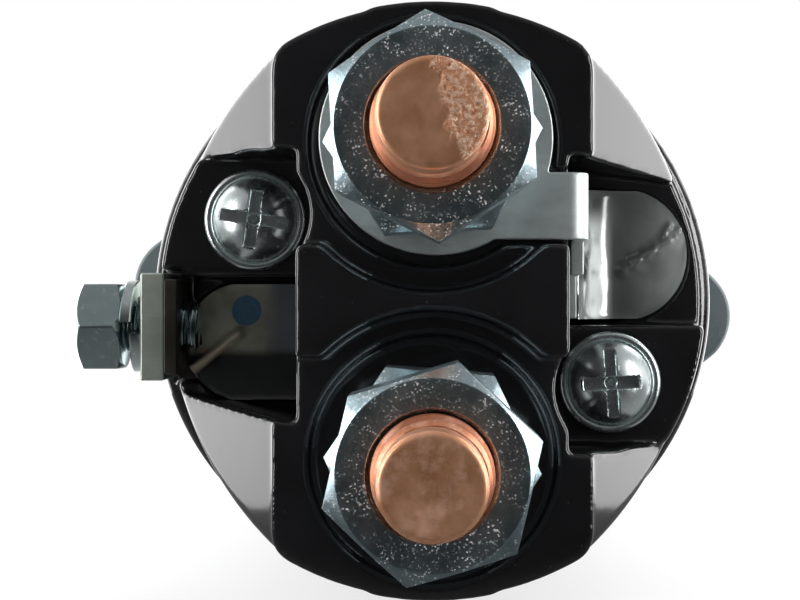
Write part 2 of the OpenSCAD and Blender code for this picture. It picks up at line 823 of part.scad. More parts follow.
module start_bracket() {
    color([0.6, 0.62, 0.6]) lay() difference() {
        union() {
            translate([-clamp_x, start_y - bracket_leg_half, bracket_z])
                cube([bracket_t, 2 * bracket_leg_half, start_z + clamp_side / 2 - bracket_z]);
            translate([-clamp_x, -start_pocket_y - bracket_foot_half, bracket_z])
                cube([clamp_x - bracket_foot_in, 2 * bracket_foot_half, bracket_t]);
        }
        translate([-clamp_x - over, start_y, start_z]) rotate([0, 90, 0])
            cylinder(r = start_screw_r + thread_gap, h = bracket_t + 2 * over);
        translate([-lead_x, -lead_y, bracket_z - over])
            cylinder(r = lead_hole_r, h = bracket_t + 2 * over);
    }
}

module clamp_plate() {
    color([0.6, 0.62, 0.6]) lay() translate([-clamp_x - clamp_t, start_y, start_z]) difference() {
        translate([0, -clamp_side / 2, -clamp_side / 2]) cube([clamp_t, clamp_side, clamp_side]);
        translate([-over, 0, 0]) rotate([0, 90, 0])
            cylinder(r = start_screw_r + hole_gap, h = clamp_t + 2 * over);
    }
}

// A split washer, sprung open so that its ends touch the head and the plate
module start_spring_washer() {
    washer_t = 1.1;
    washer_in = start_screw_r + 2 * hole_gap;
    washer_out = start_screw_r + start_washer_w;
    mid = (washer_in + washer_out) / 2;
    half = (washer_out - washer_in) / 2;
    steps = 26;
    turn = 345;
    path = [for (i = [0 : steps]) let (a = turn * i / steps)
        [mid * cos(a), mid * sin(a), washer_t / 2 + (start_gap - washer_t) * i / steps]];
    section = [[half, -washer_t / 2], [half, washer_t / 2], [-half, washer_t / 2],
        [-half, -washer_t / 2]];
    color([0.62, 0.65, 0.68]) lay() translate([-start_head_x + start_gap, start_y, start_z])
        rotate([0, -90, 0]) rotate([0, 0, 100]) sweep(path, section);
}

module start_screw() {
    corner_r = start_head_af / 2 / cos(30);
    flat_r = start_head_af / 2 * start_flat_share;
    fall = (corner_r - flat_r) * tan(30);
    length = start_head_x - start_reach;
    tip = 0.6;
    color([0.62, 0.65, 0.68]) lay() translate([-start_head_x, start_y, start_z])
        rotate([0, -90, 0]) {
            intersection() {
                cylinder(r = corner_r, h = start_head_h, $fn = 6);
                rotate_extrude() polygon([[0, 0], [flat_r, 0], [corner_r, fall / 2],
                    [corner_r, start_head_h - fall], [flat_r, start_head_h], [0, start_head_h]]);
            }
            translate([0, 0, -length]) rotate_extrude() polygon([
                [0, 0], [start_screw_r - tip, 0], [start_screw_r, tip],
                [start_screw_r, length], [0, length]
            ]);
        }
}

// A lead standing up through the core plate and the pocket's floor to the given height
function lead_run() = norm([lead_x - strap_foot_x, lead_y - strap_foot_y - strap_foot_w / 2]);

function lead_aim() = atan2(strap_foot_y + strap_foot_w / 2 - lead_y, strap_foot_x - lead_x);

module lead(top_z) {
    translate([lead_x, lead_y, core_plate_z]) cylinder(r = lead_r, h = top_z - core_plate_z, $fn = 32);
}

module pull_in_lead() {
    top_z = strap_foot_z + lead_r + thread_gap;
    color([0.7, 0.36, 0.2]) lay() {
        lead(top_z);
        translate([lead_x, lead_y, top_z]) sphere(r = lead_r, $fn = 32);
        translate([lead_x, lead_y, top_z]) rotate([0, 0, lead_aim()]) rotate([0, 90, 0])
            cylinder(r = lead_r, h = lead_run() - lead_r - hole_gap, $fn = 32);
    }
}

module start_lead() {
    color([0.7, 0.36, 0.2]) lay() rotate([0, 0, 180]) lead(bracket_z + bracket_t + side_gap);
}

// Solder on the strap's foot and round the start lead
module solder_joints() {
    blob_r = joint_r;
    color([0.7, 0.72, 0.74]) lay() {
        intersection() {
            translate([strap_foot_x - blob_r, strap_foot_y + strap_foot_w / 2, strap_foot_z + strap_t])
                sphere(r = blob_r);
            union() {
                translate([strap_foot_x - strap_foot_flat, strap_foot_y + strap_foot_w,
                    strap_foot_z + strap_t + strap_foot_bend]) rotate([90, 0, 0])
                    cylinder(r = strap_foot_bend, h = strap_foot_w);
                translate([strap_foot_x - strap_foot_flat, strap_foot_y, strap_foot_z + strap_t])
                    cube([strap_foot_flat, strap_foot_w, blob_r]);
            }
        }
        translate([-lead_x, -lead_y, bracket_z + bracket_t]) difference() {
            cylinder(r1 = blob_r, r2 = blob_r / 2, h = blob_r / 2);
            translate([0, 0, -over]) cylinder(r = lead_hole_r, h = blob_r + 2 * over);
        }
    }
}

// Resin under the strap's foot and the bracket's foot, poured round the leads
module lead_potting() {
    cover_z = ledge_z - potting_drop;
    ridge_r = lead_r + bore_gap;
    color([0.12, 0.12, 0.13]) lay() difference() {
        union() {
            intersection() {
                start_pocket();
                translate([-case_r, -case_r, pocket_z]) cube([case_r, case_d, cover_z - pocket_z]);
            }
            intersection() {
                strap_pocket();
                translate([0, -case_r, pocket_z]) cube([case_r, case_d, strap_foot_z - pocket_z]);
            }
            translate([lead_x, lead_y, strap_foot_z]) rotate([0, 0, lead_aim()]) {
                rotate([0, 90, 0]) cylinder(r = ridge_r, h = lead_run() - ridge_r);
                sphere(r = ridge_r);
            }
        }
        both_sides() translate([lead_x, lead_y, pocket_z - over])
            cylinder(r = lead_hole_r, h = pocket_depth + over);
        translate([lead_x, lead_y, strap_foot_z + lead_r + thread_gap]) rotate([0, 0, lead_aim()]) {
            rotate([0, 90, 0]) cylinder(r = lead_hole_r, h = lead_run());
            sphere(r = lead_r + 2 * hole_gap);
        }
        translate([-clamp_x, -start_pocket_y - bracket_foot_half, bracket_z])
            cube([clamp_x - bracket_foot_in, 2 * bracket_foot_half, bracket_t]);
        translate([-lead_x, -lead_y, bracket_z]) cylinder(r = joint_r + thread_gap, h = pocket_depth);
        translate([-clamp_x - over, start_y - bracket_leg_half - side_gap, bracket_z])
            cube([bracket_t + over + side_gap, 2 * (bracket_leg_half + side_gap), cap_h]);
    }
}

module return_spring() {
    color([0.55, 0.57, 0.6]) lay() translate([0, 0, retainer_z + retainer_t])
        coil_spring(spring_mean_r, spring_wire_r, return_spring_len, spring_turns);
}

module plunger() {
    color([0.66, 0.67, 0.68]) lay() difference() {
        translate([0, 0, -plunger_out]) rod(plunger_r, plunger_out + plunger_in_z, plunger_edge);
        translate([0, 0, cavity_z]) cylinder(r = cavity_r, h = cavity_len);
        translate([0, 0, -plunger_out - over]) cylinder(r = end_washer_r, h = end_washer_t + over);
        translate([0, 0, snap_z]) tube(plunger_r + over, plunger_r - snap_groove, snap_t);
    }
}

module spring_retainer() {
    color([0.62, 0.65, 0.6]) lay() translate([0, 0, retainer_z])
        tube(retainer_r, plunger_r + hole_gap, retainer_t);
}

module snap_ring() {
    mouth = 5;
    color([0.35, 0.35, 0.37]) lay() translate([0, 0, snap_z]) difference() {
        tube(plunger_r - snap_groove + snap_out, plunger_r - snap_groove + thread_gap, snap_t);
        translate([0, -mouth / 2, -over]) cube([case_r, mouth, snap_t + 2 * over]);
    }
}

module plunger_end_washer() {
    color([0.62, 0.65, 0.6]) lay() translate([0, 0, -plunger_out])
        tube(end_washer_r - thread_gap, hook_r + run_gap, end_washer_t);
}

module engaging_spring() {
    color([0.5, 0.52, 0.55]) lay() translate([0, 0, cavity_z])
        coil_spring(engage_mean_r, engage_wire_r, engage_len, engage_turns);
}

module hook_rod() {
    eye_len = window_len + 2 * eye_frame;
    color([0.6, 0.61, 0.6]) lay() {
        translate([0, 0, hook_head_z]) cylinder(r = hook_head_r, h = hook_head_t);
        translate([0, 0, eye_z - eye_frame / 2])
            cylinder(r = hook_r, h = hook_head_z - eye_z + eye_frame / 2 + hook_head_t / 2);
        translate([0, eye_t / 2, eye_z - eye_len / 2]) rotate([90, 0, 0])
            linear_extrude(eye_t) difference() {
                round_box_2d(eye_w / 2, eye_len / 2, eye_edge_r);
                round_box_2d(window_w / 2, window_len / 2, window_edge_r);
            }
    }
}

module contact_rod() {
    color([0.6, 0.6, 0.62]) lay() {
        translate([0, 0, rod_low_z]) cylinder(r = rod_r, h = collar_z - rod_low_z + collar_t / 2);
        translate([0, 0, collar_z]) cylinder(r = collar_r, h = collar_t);
        translate([0, 0, collar_z + collar_t / 2])
            cylinder(r = rod_neck_r, h = rod_end_z - collar_z - collar_t / 2);
    }
}

module rod_clip() {
    color([0.35, 0.35, 0.37]) lay() translate([0, 0, clip_z])
        tube(clip_r, rod_neck_r + thread_gap, clip_t);
}

module contact_spring() {
    color([0.55, 0.57, 0.6]) lay() translate([0, 0, collar_z + collar_t])
        coil_spring(contact_spring_r, contact_wire_r, contact_spring_len, contact_turns);
}

module contact_plate() {
    plate_corner_r = 3;
    color([0.78, 0.45, 0.28]) lay() translate([0, 0, contact_z]) difference() {
        linear_extrude(contact_t) round_box_2d(contact_w / 2, contact_len / 2, plate_corner_r);
        translate([0, 0, -over])
            cylinder(r = rod_neck_r + 2 * hole_gap + insulator_t, h = contact_t + 2 * over);
    }
}

module lower_insulator() {
    color([0.35, 0.2, 0.12]) lay() translate([0, 0, contact_z - insulator_t])
        tube(insulator_r, rod_neck_r + hole_gap, insulator_t);
}

module upper_insulator() {
    color([0.35, 0.2, 0.12]) lay() difference() {
        union() {
            translate([0, 0, contact_top_z]) cylinder(r = insulator_r, h = insulator_t - side_gap / 2);
            translate([0, 0, contact_z]) cylinder(r = rod_neck_r + hole_gap + insulator_t, h = contact_t);
        }
        translate([0, 0, contact_z - over])
            cylinder(r = rod_neck_r + hole_gap, h = contact_t + insulator_t + 2 * over);
    }
}

module contact_return_spring() {
    color([0.55, 0.57, 0.6]) lay() translate([0, 0, clip_z + clip_t])
        coil_spring(lift_spring_r, lift_wire_r, lift_spring_len, lift_turns);
}

mounting_flange();
case_shell();
bobbin();
pull_in_winding();
hold_in_winding();
fixed_core();
cap_gasket();
terminal_cap();
cap_screws();
motor_stud();
battery_stud();
stud_seals();
motor_inner_nut();
motor_cable_nut();
battery_inner_nut();
battery_cable_nut();
motor_strap();
start_bracket();
clamp_plate();
start_spring_washer();
start_screw();
pull_in_lead();
start_lead();
solder_joints();
lead_potting();
return_spring();
plunger();
spring_retainer();
snap_ring();
plunger_end_washer();
engaging_spring();
hook_rod();
contact_rod();
rod_clip();
contact_spring();
contact_plate();
lower_insulator();
upper_insulator();
contact_return_spring();
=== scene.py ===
import math

import bmesh
import bpy
import numpy as np
from mathutils import Matrix, Vector, noise


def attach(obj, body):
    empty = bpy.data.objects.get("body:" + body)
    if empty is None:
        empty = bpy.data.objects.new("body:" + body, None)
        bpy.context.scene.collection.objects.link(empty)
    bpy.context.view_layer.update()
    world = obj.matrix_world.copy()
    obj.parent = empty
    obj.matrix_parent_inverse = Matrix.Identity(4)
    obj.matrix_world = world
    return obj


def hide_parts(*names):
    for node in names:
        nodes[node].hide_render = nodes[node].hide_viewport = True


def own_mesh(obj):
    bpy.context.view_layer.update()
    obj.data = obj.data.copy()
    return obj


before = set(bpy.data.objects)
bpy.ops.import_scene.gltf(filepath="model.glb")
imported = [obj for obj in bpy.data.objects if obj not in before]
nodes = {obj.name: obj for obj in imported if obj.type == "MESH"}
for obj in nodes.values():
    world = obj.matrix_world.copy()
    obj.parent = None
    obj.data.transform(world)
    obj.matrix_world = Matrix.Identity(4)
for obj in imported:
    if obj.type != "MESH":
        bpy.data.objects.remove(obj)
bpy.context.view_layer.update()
scene = bpy.context.scene
MM = 0.001
# Points of a CAD node nearer than this are one point, in metres
WELD = 2e-6

# Lengths of the part, in mm, with z along its axis from the flange towards the terminals
PAD_Z = 67.2
STUD_Y, STUD_R, NUT_AF, NUT_H = 13.9, 5.0, 16.0, 8.0
MOTOR_NUT_Z, BATTERY_NUT_Z = 80.2, 79.0
# Foot of a nut's bore and its chamfer's upper ring, below the nut's faces
NUT_SINK, NUT_LIP = 0.5, 0.14
# Start screw: its axis, the underside of its head, and its spanner size and height
START_Y, START_Z, START_HEAD, START_AF, START_H = -2.4, 66.0, 29.25, 8.0, 4.1
# Lead pockets: their floor, and across the part their inner side and the centre of their round end
POCKET_Z, POCKET_SIDE, POCKET_END = 58.5, 12.0, 18.4
# Radius, middle and resin level of the right and left pockets, and how high the resin ripples
RIGHT_POCKET, LEFT_POCKET = (6.5, 4.5, 61.92, 0.16), (5.8, 4.0, 61.95, 0.14)
# The resin creeps up a wall by this height, over this distance, from a little below its level
CREEP_H, CREEP_FAR, CREEP_DROP = 0.42, 0.45, 0.12
FLOOR_Z, FLOOR_HALF = -0.02775, 3
CAMERA_FAR, FOCAL_PX, PHOTO_W, SENSOR_W = 0.2362, 1781, 800, 36


def row(points):
    """Points (x, y, z along the axis) in mm as points of the row frame in metres."""
    p = np.asarray(points, float).reshape(-1, 3)
    return np.stack([p[:, 0], -p[:, 2], p[:, 1]], 1) * MM


# Materials

SPAN_ENDS = ("From Min", "From Max", "To Min", "To Max")


class Nodes:
    """A small builder for a procedural material around one Principled shader."""

    def __init__(self, name):
        self.mat = bpy.data.materials.new(name)
        self.mat.use_nodes = True
        self.tree = self.mat.node_tree
        self.tree.nodes.clear()
        self.out = self.add("ShaderNodeOutputMaterial")
        self.shader = self.add("ShaderNodeBsdfPrincipled")
        self.link(self.shader.outputs[0], self.out.inputs[0])
        self.place = self.add("ShaderNodeTexCoord").outputs["Object"]

    def add(self, kind, **values):
        node = self.tree.nodes.new(kind)
        for key, value in values.items():
            setattr(node, key, value)
        return node

    def link(self, a, b):
        self.tree.links.new(a, b)

    def put(self, socket, value):
        if hasattr(value, "links"):
            self.link(value, socket)
        else:
            socket.default_value = value

    def set(self, **values):
        for key, value in values.items():
            self.put(self.shader.inputs[key.replace("_", " ")], value)
        return self

    def moved(self, scale=(1, 1, 1), shift=(0, 0, 0)):
        node = self.add("ShaderNodeMapping")
        self.link(self.place, node.inputs["Vector"])
        node.inputs["Scale"].default_value = scale
        node.inputs["Location"].default_value = shift
        return node.outputs[0]

    def noise(self, size_mm, detail=3.0, rough=0.5, place=None):
        node = self.add("ShaderNodeTexNoise")
        self.link(place or self.place, node.inputs["Vector"])
        node.inputs["Scale"].default_value = 1.0 / (size_mm * MM)
        node.inputs["Detail"].default_value = detail
        node.inputs["Roughness"].default_value = rough
        return node.outputs["Fac"]

    def cells(self, size_mm, output="Distance"):
        node = self.add("ShaderNodeTexVoronoi")
        self.link(self.place, node.inputs["Vector"])
        node.inputs["Scale"].default_value = 1.0 / (size_mm * MM)
        return node.outputs[output]

    def wave(self, size_mm, direction="X", kind="BANDS", distort=0.0, place=None):
        node = self.add("ShaderNodeTexWave", wave_type=kind)
        if kind == "BANDS":
            node.bands_direction = direction
        else:
            node.rings_direction = direction
        self.link(place or self.place, node.inputs["Vector"])
        node.inputs["Scale"].default_value = 1.0 / (size_mm * MM) / 20.0 * 6.2832
        node.inputs["Distortion"].default_value = distort
        return node.outputs["Fac"]

    def span(self, value, low, high, to_low=0.0, to_high=1.0, smooth=False):
        node = self.add("ShaderNodeMapRange")
        if smooth:
            node.interpolation_type = "SMOOTHSTEP"
        self.link(value, node.inputs["Value"])
        for key, v in zip(SPAN_ENDS, (low, high, to_low, to_high)):
            node.inputs[key].default_value = v
        return node.outputs[0]

    def math(self, kind, a, b=0.0):
        node = self.add("ShaderNodeMath", operation=kind)
        self.put(node.inputs[0], a)
        self.put(node.inputs[1], b)
        return node.outputs[0]

    def mix(self, fac, a, b):
        node = self.add("ShaderNodeMix", data_type="RGBA")
        self.put(node.inputs[0], fac)
        self.put(node.inputs[6], a)
        self.put(node.inputs[7], b)
        return node.outputs[2]

    def part(self, axis):
        node = self.add("ShaderNodeSeparateXYZ")
        self.link(self.place, node.inputs[0])
        return node.outputs[axis]

    def bump(self, height, depth_mm, strength=1.0, after=None):
        node = self.add("ShaderNodeBump")
        self.link(height, node.inputs["Height"])
        node.inputs["Distance"].default_value = depth_mm * MM
        node.inputs["Strength"].default_value = strength
        if after is not None:
            self.link(after, node.inputs["Normal"])
        self.link(node.outputs[0], self.shader.inputs["Normal"])
        return node.outputs[0]


def rgb(r, g, b):
    return (r, g, b, 1.0)


def phenolic():
    m = Nodes("cap_moulding")
    broad = m.noise(9, 2)
    fine = m.noise(0.35, 4, 0.6)
    specks = m.span(m.cells(1.1), 0.035, 0.06, 1.0, 0.0)
    colour = m.mix(m.span(broad, 0.35, 0.7), rgb(0.0055, 0.0055, 0.006),
                   rgb(0.0085, 0.0085, 0.0095))
    colour = m.mix(m.math("MULTIPLY", specks, 0.25), colour, rgb(0.16, 0.15, 0.14))
    rough = m.math("ADD", m.span(broad, 0.3, 0.75, 0.07, 0.13),
                   m.span(fine, 0.45, 0.75, 0.0, 0.03))
    m.set(Base_Color=colour, Roughness=rough, IOR=1.52)
    first = m.bump(m.noise(4.5, 2), 0.03, 0.5)
    m.bump(fine, 0.002, 0.4, first)
    return m.mat


def zinc(name="zinc", base=(0.36, 0.48, 0.52), pale=(0.66, 0.77, 0.82), grain=0.12,
         rough=(0.26, 0.38), worn=1.0):
    m = Nodes(name)
    broad = m.noise(3.2, 4, 0.6)
    grains = m.cells(grain, output="Color")
    tone = m.add("ShaderNodeSeparateColor")
    m.link(grains, tone.inputs[0])
    # White flecks painted on the plating as its sparkle: painted glints. The worn factor scales the
    # real wear marks and these painted glints alike.
    sparkle_fleck = m.math("MULTIPLY", m.span(tone.outputs[0], 0.87, 0.95),
                   m.span(m.noise(1.6, 3, 0.6), 0.4, 0.62))
    wear = m.span(m.noise(1.1, 5, 0.65), 0.5, 0.72)
    middle = rgb(*[0.5 * (a + b) for a, b in zip(base, pale)])
    colour = m.mix(m.span(broad, 0.3, 0.7), rgb(*base), middle)
    colour = m.mix(m.math("MULTIPLY", sparkle_fleck, worn), colour, rgb(0.96, 0.98, 1.0))
    colour = m.mix(m.math("MULTIPLY", wear, 0.35 * worn), colour, rgb(*[0.8 * v for v in base]))
    dull = m.math("ADD", m.span(broad, 0.3, 0.7, *rough), m.math("MULTIPLY", sparkle_fleck, 0.1 * worn))
    m.set(Base_Color=colour, Metallic=m.span(sparkle_fleck, 0.0, 1.0, 1.0, 1.0 - 0.45 * worn), Roughness=dull)
    first = m.bump(m.noise(0.5, 4, 0.6), 0.03 * worn, 0.5)
    m.bump(sparkle_fleck, 0.006 * worn, 0.6, first)
    return m.mat


def copper(name, rough_side, centre_z):
    """Cold-headed copper of a stud whose axis is at centre_z mm, worn on one side of its point."""
    m = Nodes(name)
    here = m.moved(shift=(0, 0, -centre_z * MM))
    broad = m.noise(2.4, 4, 0.6)
    colour = m.mix(m.span(broad, 0.32, 0.68), rgb(0.8, 0.37, 0.19), rgb(0.96, 0.52, 0.32))
    stain = m.span(m.noise(1.3, 5, 0.7), 0.52, 0.68)
    colour = m.mix(m.math("MULTIPLY", stain, 0.18), colour, rgb(0.42, 0.2, 0.12))
    rough = m.span(broad, 0.3, 0.7, 0.34, 0.48)
    off = m.add("ShaderNodeVectorMath", operation="MULTIPLY")
    m.link(here, off.inputs[0])
    off.inputs[1].default_value = (1, 0, 1)
    length = m.add("ShaderNodeVectorMath", operation="LENGTH")
    m.link(off.outputs[0], length.inputs[0])
    groove = m.span(length.outputs["Value"], 0.0041, 0.0045)
    colour = m.mix(m.math("MULTIPLY", groove, 0.6), colour, rgb(0.58, 0.17, 0.1))
    rings = m.wave(0.35, "Y", "RINGS", 1.5, here)
    if rough_side:
        slant = m.math("MULTIPLY_ADD", m.part(2), 0.3)
        slant.node.inputs[2].default_value = -0.00516
        edge = m.math("ADD", m.math("ADD", m.part(0), slant),
                      m.span(m.noise(1.6, 4), 0.3, 0.7, -0.0005, 0.0005))
        side = m.span(edge, -0.0002, 0.0004, 0.0, 1.0, smooth=True)
        grit = m.noise(0.42, 4, 0.7)
        pale = m.mix(m.span(grit, 0.45, 0.62), rgb(0.72, 0.34, 0.19), rgb(1.0, 0.74, 0.56))
        on_tip = m.math("MULTIPLY", side, m.span(m.part(1), -0.1044, -0.1047))
        colour = m.mix(on_tip, colour, pale)
        rough = m.math("ADD", rough, m.math("MULTIPLY", on_tip, 0.12))
        first = m.bump(m.math("MULTIPLY", grit, on_tip), 0.22, 0.9)
        m.bump(rings, 0.003, 0.3, first)
    else:
        patch = m.span(m.noise(1.9, 4, 0.65), 0.5, 0.66)
        colour = m.mix(m.math("MULTIPLY", patch, 0.7), colour, rgb(1.0, 0.62, 0.46))
        rough = m.math("ADD", rough, m.math("MULTIPLY", patch, 0.14))
        first = m.bump(m.noise(0.25, 4, 0.7), 0.012, 0.6)
        m.bump(rings, 0.004, 0.35, first)
    m.set(Base_Color=colour, Metallic=0.86, Roughness=rough)
    return m.mat


def tinned(name="strap_zinc", a=(0.52, 0.57, 0.56), b=(0.74, 0.79, 0.78)):
    m = Nodes(name)
    broad = m.noise(5, 4, 0.6)
    drawn = m.noise(1.0, 5, 0.6, m.moved(scale=(0.25, 1, 1)))
    colour = m.mix(m.span(broad, 0.3, 0.7), rgb(*a), rgb(*b))
    colour = m.mix(m.math("MULTIPLY", m.span(drawn, 0.5, 0.75), 0.4), colour,
                   rgb(*[0.6 * v for v in a]))
    m.set(Base_Color=colour, Metallic=0.86, Roughness=m.span(drawn, 0.3, 0.7, 0.36, 0.5))
    first = m.bump(drawn, 0.012, 0.5)
    m.bump(m.noise(0.2, 4, 0.7), 0.006, 0.6, first)
    return m.mat


def resin():
    m = Nodes("resin")
    broad = m.noise(3.5, 3)
    # Right pocket: a paler grey painted on the resin for the bright surroundings it reflects, a painted
    # reflection; it is darker towards the strap and paler towards the pocket's round end.
    painted_sheen_grey = m.mix(m.span(broad, 0.35, 0.7), rgb(0.075, 0.082, 0.08), rgb(0.13, 0.14, 0.136))
    painted_sheen_grey = m.mix(m.span(m.part(0), 0.0180, 0.0225, smooth=True), rgb(0.05, 0.054, 0.053), painted_sheen_grey)
    painted_sheen_grey = m.mix(m.span(m.part(0), 0.0215, 0.0245, 0.0, 0.75, smooth=True), painted_sheen_grey,
                 rgb(0.26, 0.275, 0.27))
    dark = m.mix(m.span(broad, 0.35, 0.7), rgb(0.008, 0.0095, 0.009), rgb(0.02, 0.022, 0.021))
    amber = m.mix(m.span(broad, 0.35, 0.7), rgb(0.1, 0.1, 0.078), rgb(0.18, 0.18, 0.148))
    amber = m.mix(m.span(m.part(0), -0.0172, -0.0148, smooth=True), amber,
                  rgb(0.06, 0.066, 0.075))
    dark = m.mix(m.span(m.part(2), -0.0056, -0.0044, smooth=True), dark, amber)
    # A pale line painted along the crest of the ridge over the start lead: a painted highlight.
    across = m.math("ADD", m.math("MULTIPLY", m.part(0), -0.628), m.math("MULTIPLY", m.part(2), 0.779))
    across = m.math("ABSOLUTE", m.math("SUBTRACT", across, 0.009454))
    along = m.math("ADD", m.math("MULTIPLY", m.part(0), 0.779), m.math("MULTIPLY", m.part(2), 0.628))
    crest_highlight = m.math("MULTIPLY", m.span(across, 0.00055, 0.0002), m.span(along, -0.0165, -0.0172))
    dark = m.mix(m.math("MULTIPLY", crest_highlight, 0.8), dark, rgb(0.24, 0.21, 0.16))
    # Left of the middle the resin keeps its own dark tone; right of it, the painted reflection grey.
    colour = m.mix(m.span(m.part(0), -0.001, 0.001), dark, painted_sheen_grey)
    foot = m.math("MULTIPLY", m.span(m.part(0), 0.0178, 0.0156, smooth=True),
                  m.span(m.part(0), 0.0, 0.001))
    foot = m.math("MULTIPLY", foot, m.span(m.part(2), 0.0092, 0.0056, smooth=True))
    colour = m.mix(foot, colour, rgb(0.82, 0.86, 0.85))
    m.set(Base_Color=colour, Metallic=foot, Roughness=m.span(broad, 0.3, 0.7, 0.1, 0.2), IOR=1.6)
    m.bump(m.noise(2.4, 2), 0.03, 0.4)
    return m.mat


def enamel(name, tone=(0.012, 0.013, 0.016)):
    m = Nodes(name)
    peel = m.noise(0.9, 2)
    broad = m.noise(14, 3)
    colour = m.mix(m.span(broad, 0.35, 0.7), rgb(*tone), rgb(*[1.5 * v for v in tone]))
    dust = m.span(m.noise(0.5, 6, 0.75), 0.6, 0.8)
    colour = m.mix(m.math("MULTIPLY", dust, 0.2), colour, rgb(0.12, 0.11, 0.10))
    m.set(Base_Color=colour, Roughness=m.span(broad, 0.3, 0.7, 0.22, 0.34), IOR=1.5)
    m.bump(peel, 0.02, 0.7)
    return m.mat


def turned_steel(name, a, b, rough=(0.18, 0.34), pitch=0.35, direction="Y"):
    m = Nodes(name)
    broad = m.noise(6, 4, 0.6)
    lines = m.wave(pitch, direction, "BANDS", 0.6)
    colour = m.mix(m.span(broad, 0.3, 0.7), rgb(*a), rgb(*b))
    scratch = m.span(m.noise(0.5, 4, 0.6, m.moved(scale=(1, 0.12, 1))), 0.6, 0.72)
    colour = m.mix(m.math("MULTIPLY", scratch, 0.3), colour, rgb(*[0.55 * v for v in a]))
    m.set(Base_Color=colour, Metallic=1.0, Roughness=m.span(broad, 0.3, 0.7, *rough))
    first = m.bump(lines, 0.004, 0.5)
    m.bump(m.noise(0.3, 4, 0.7), 0.004, 0.6, first)
    return m.mat


def phosphate():
    m = Nodes("hook_steel")
    broad = m.noise(5, 5, 0.65)
    grit = m.noise(0.3, 5, 0.75)
    colour = m.mix(m.span(broad, 0.3, 0.7), rgb(0.16, 0.16, 0.155), rgb(0.30, 0.30, 0.285))
    worn = m.span(m.noise(1.8, 5, 0.7), 0.58, 0.72)
    colour = m.mix(m.math("MULTIPLY", worn, 0.5), colour, rgb(0.5, 0.49, 0.46))
    m.set(Base_Color=colour, Metallic=0.85, Roughness=m.span(grit, 0.3, 0.7, 0.36, 0.55))
    m.bump(grit, 0.02, 0.7)
    return m.mat


def wound_wire():
    m = Nodes("winding_wire")
    turns = m.wave(0.9, "Y", "BANDS")
    broad = m.noise(4, 3)
    colour = m.mix(m.span(broad, 0.3, 0.7), rgb(0.42, 0.13, 0.05), rgb(0.62, 0.24, 0.10))
    colour = m.mix(m.span(turns, 0.0, 0.3, 0.8, 0.0), colour, rgb(0.09, 0.03, 0.02))
    m.set(Base_Color=colour, Metallic=0.6, Roughness=m.span(broad, 0.3, 0.7, 0.25, 0.35))
    m.bump(turns, 0.3, 0.8)
    return m.mat


def plain(name, a, b, rough, size, depth=0.02, **more):
    m = Nodes(name)
    broad = m.noise(size, 5, 0.6)
    m.set(Base_Color=m.mix(m.span(broad, 0.3, 0.7), rgb(*a), rgb(*b)),
          Roughness=m.span(broad, 0.3, 0.7, *rough), **more)
    m.bump(m.noise(size / 6, 4, 0.7), depth, 0.6)
    return m.mat


MATS = {
    "cap_moulding": phenolic(),
    "zinc": zinc(),
    "zinc_screw": zinc("zinc_screw", (0.76, 0.84, 0.84), (0.9, 0.95, 0.95), 0.3, (0.22, 0.32), 0.1),
    "zinc_start": zinc("zinc_start", (0.35, 0.43, 0.44), (0.52, 0.6, 0.61), 0.3, (0.16, 0.24), 0.1),
    "zinc_washer": zinc("zinc_washer", (0.56, 0.62, 0.63), (0.76, 0.82, 0.82), 0.3,
                        (0.14, 0.24), 0.15),
    "copper": copper("copper", False, -STUD_Y),
    "copper_worn": copper("copper_worn", True, STUD_Y),
    "strap_zinc": tinned(),
    "clamp_zinc": tinned("clamp_zinc", (0.33, 0.37, 0.32), (0.48, 0.53, 0.47)),
    # The start bracket gets a near-black tone: painted shade for the shade it sits in.
    "bracket_painted_shade": tinned("bracket_painted_shade", (0.035, 0.034, 0.027), (0.07, 0.066, 0.054)),
    "resin": resin(),
    "flange_paint": enamel("flange_paint", (0.05, 0.062, 0.066)),
    "case_paint": enamel("case_paint"),
    "plunger_steel": turned_steel("plunger_steel", (0.5, 0.5, 0.5), (0.66, 0.66, 0.65)),
    "core_iron": turned_steel("core_iron", (0.36, 0.36, 0.36), (0.52, 0.51, 0.5), (0.3, 0.5)),
    "spring_steel": turned_steel("spring_steel", (0.2, 0.21, 0.225), (0.34, 0.35, 0.37),
                                 (0.2, 0.36), 0.25, "X"),
    "hook_steel": phosphate(),
    "bobbin_resin": plain("bobbin_resin", (0.58, 0.48, 0.24), (0.7, 0.6, 0.34), (0.4, 0.55), 3.0),
    "winding_wire": wound_wire(),
    "seal_rubber": plain("seal_rubber", (0.012, 0.012, 0.012), (0.03, 0.03, 0.03),
                         (0.55, 0.75), 1.2),
    "insulator_fibre": plain("insulator_fibre", (0.17, 0.075, 0.035), (0.30, 0.14, 0.07),
                             (0.5, 0.7), 1.0, 0.04),
    "solder": plain("solder", (0.66, 0.69, 0.69), (0.8, 0.83, 0.83), (0.16, 0.26), 2.5, 0.03,
                    Metallic=1.0),
    "blue_dot": plain("blue_dot", (0.003, 0.045, 0.09), (0.006, 0.075, 0.14), (0.4, 0.6), 0.6, 0.03),
}


# Meshes

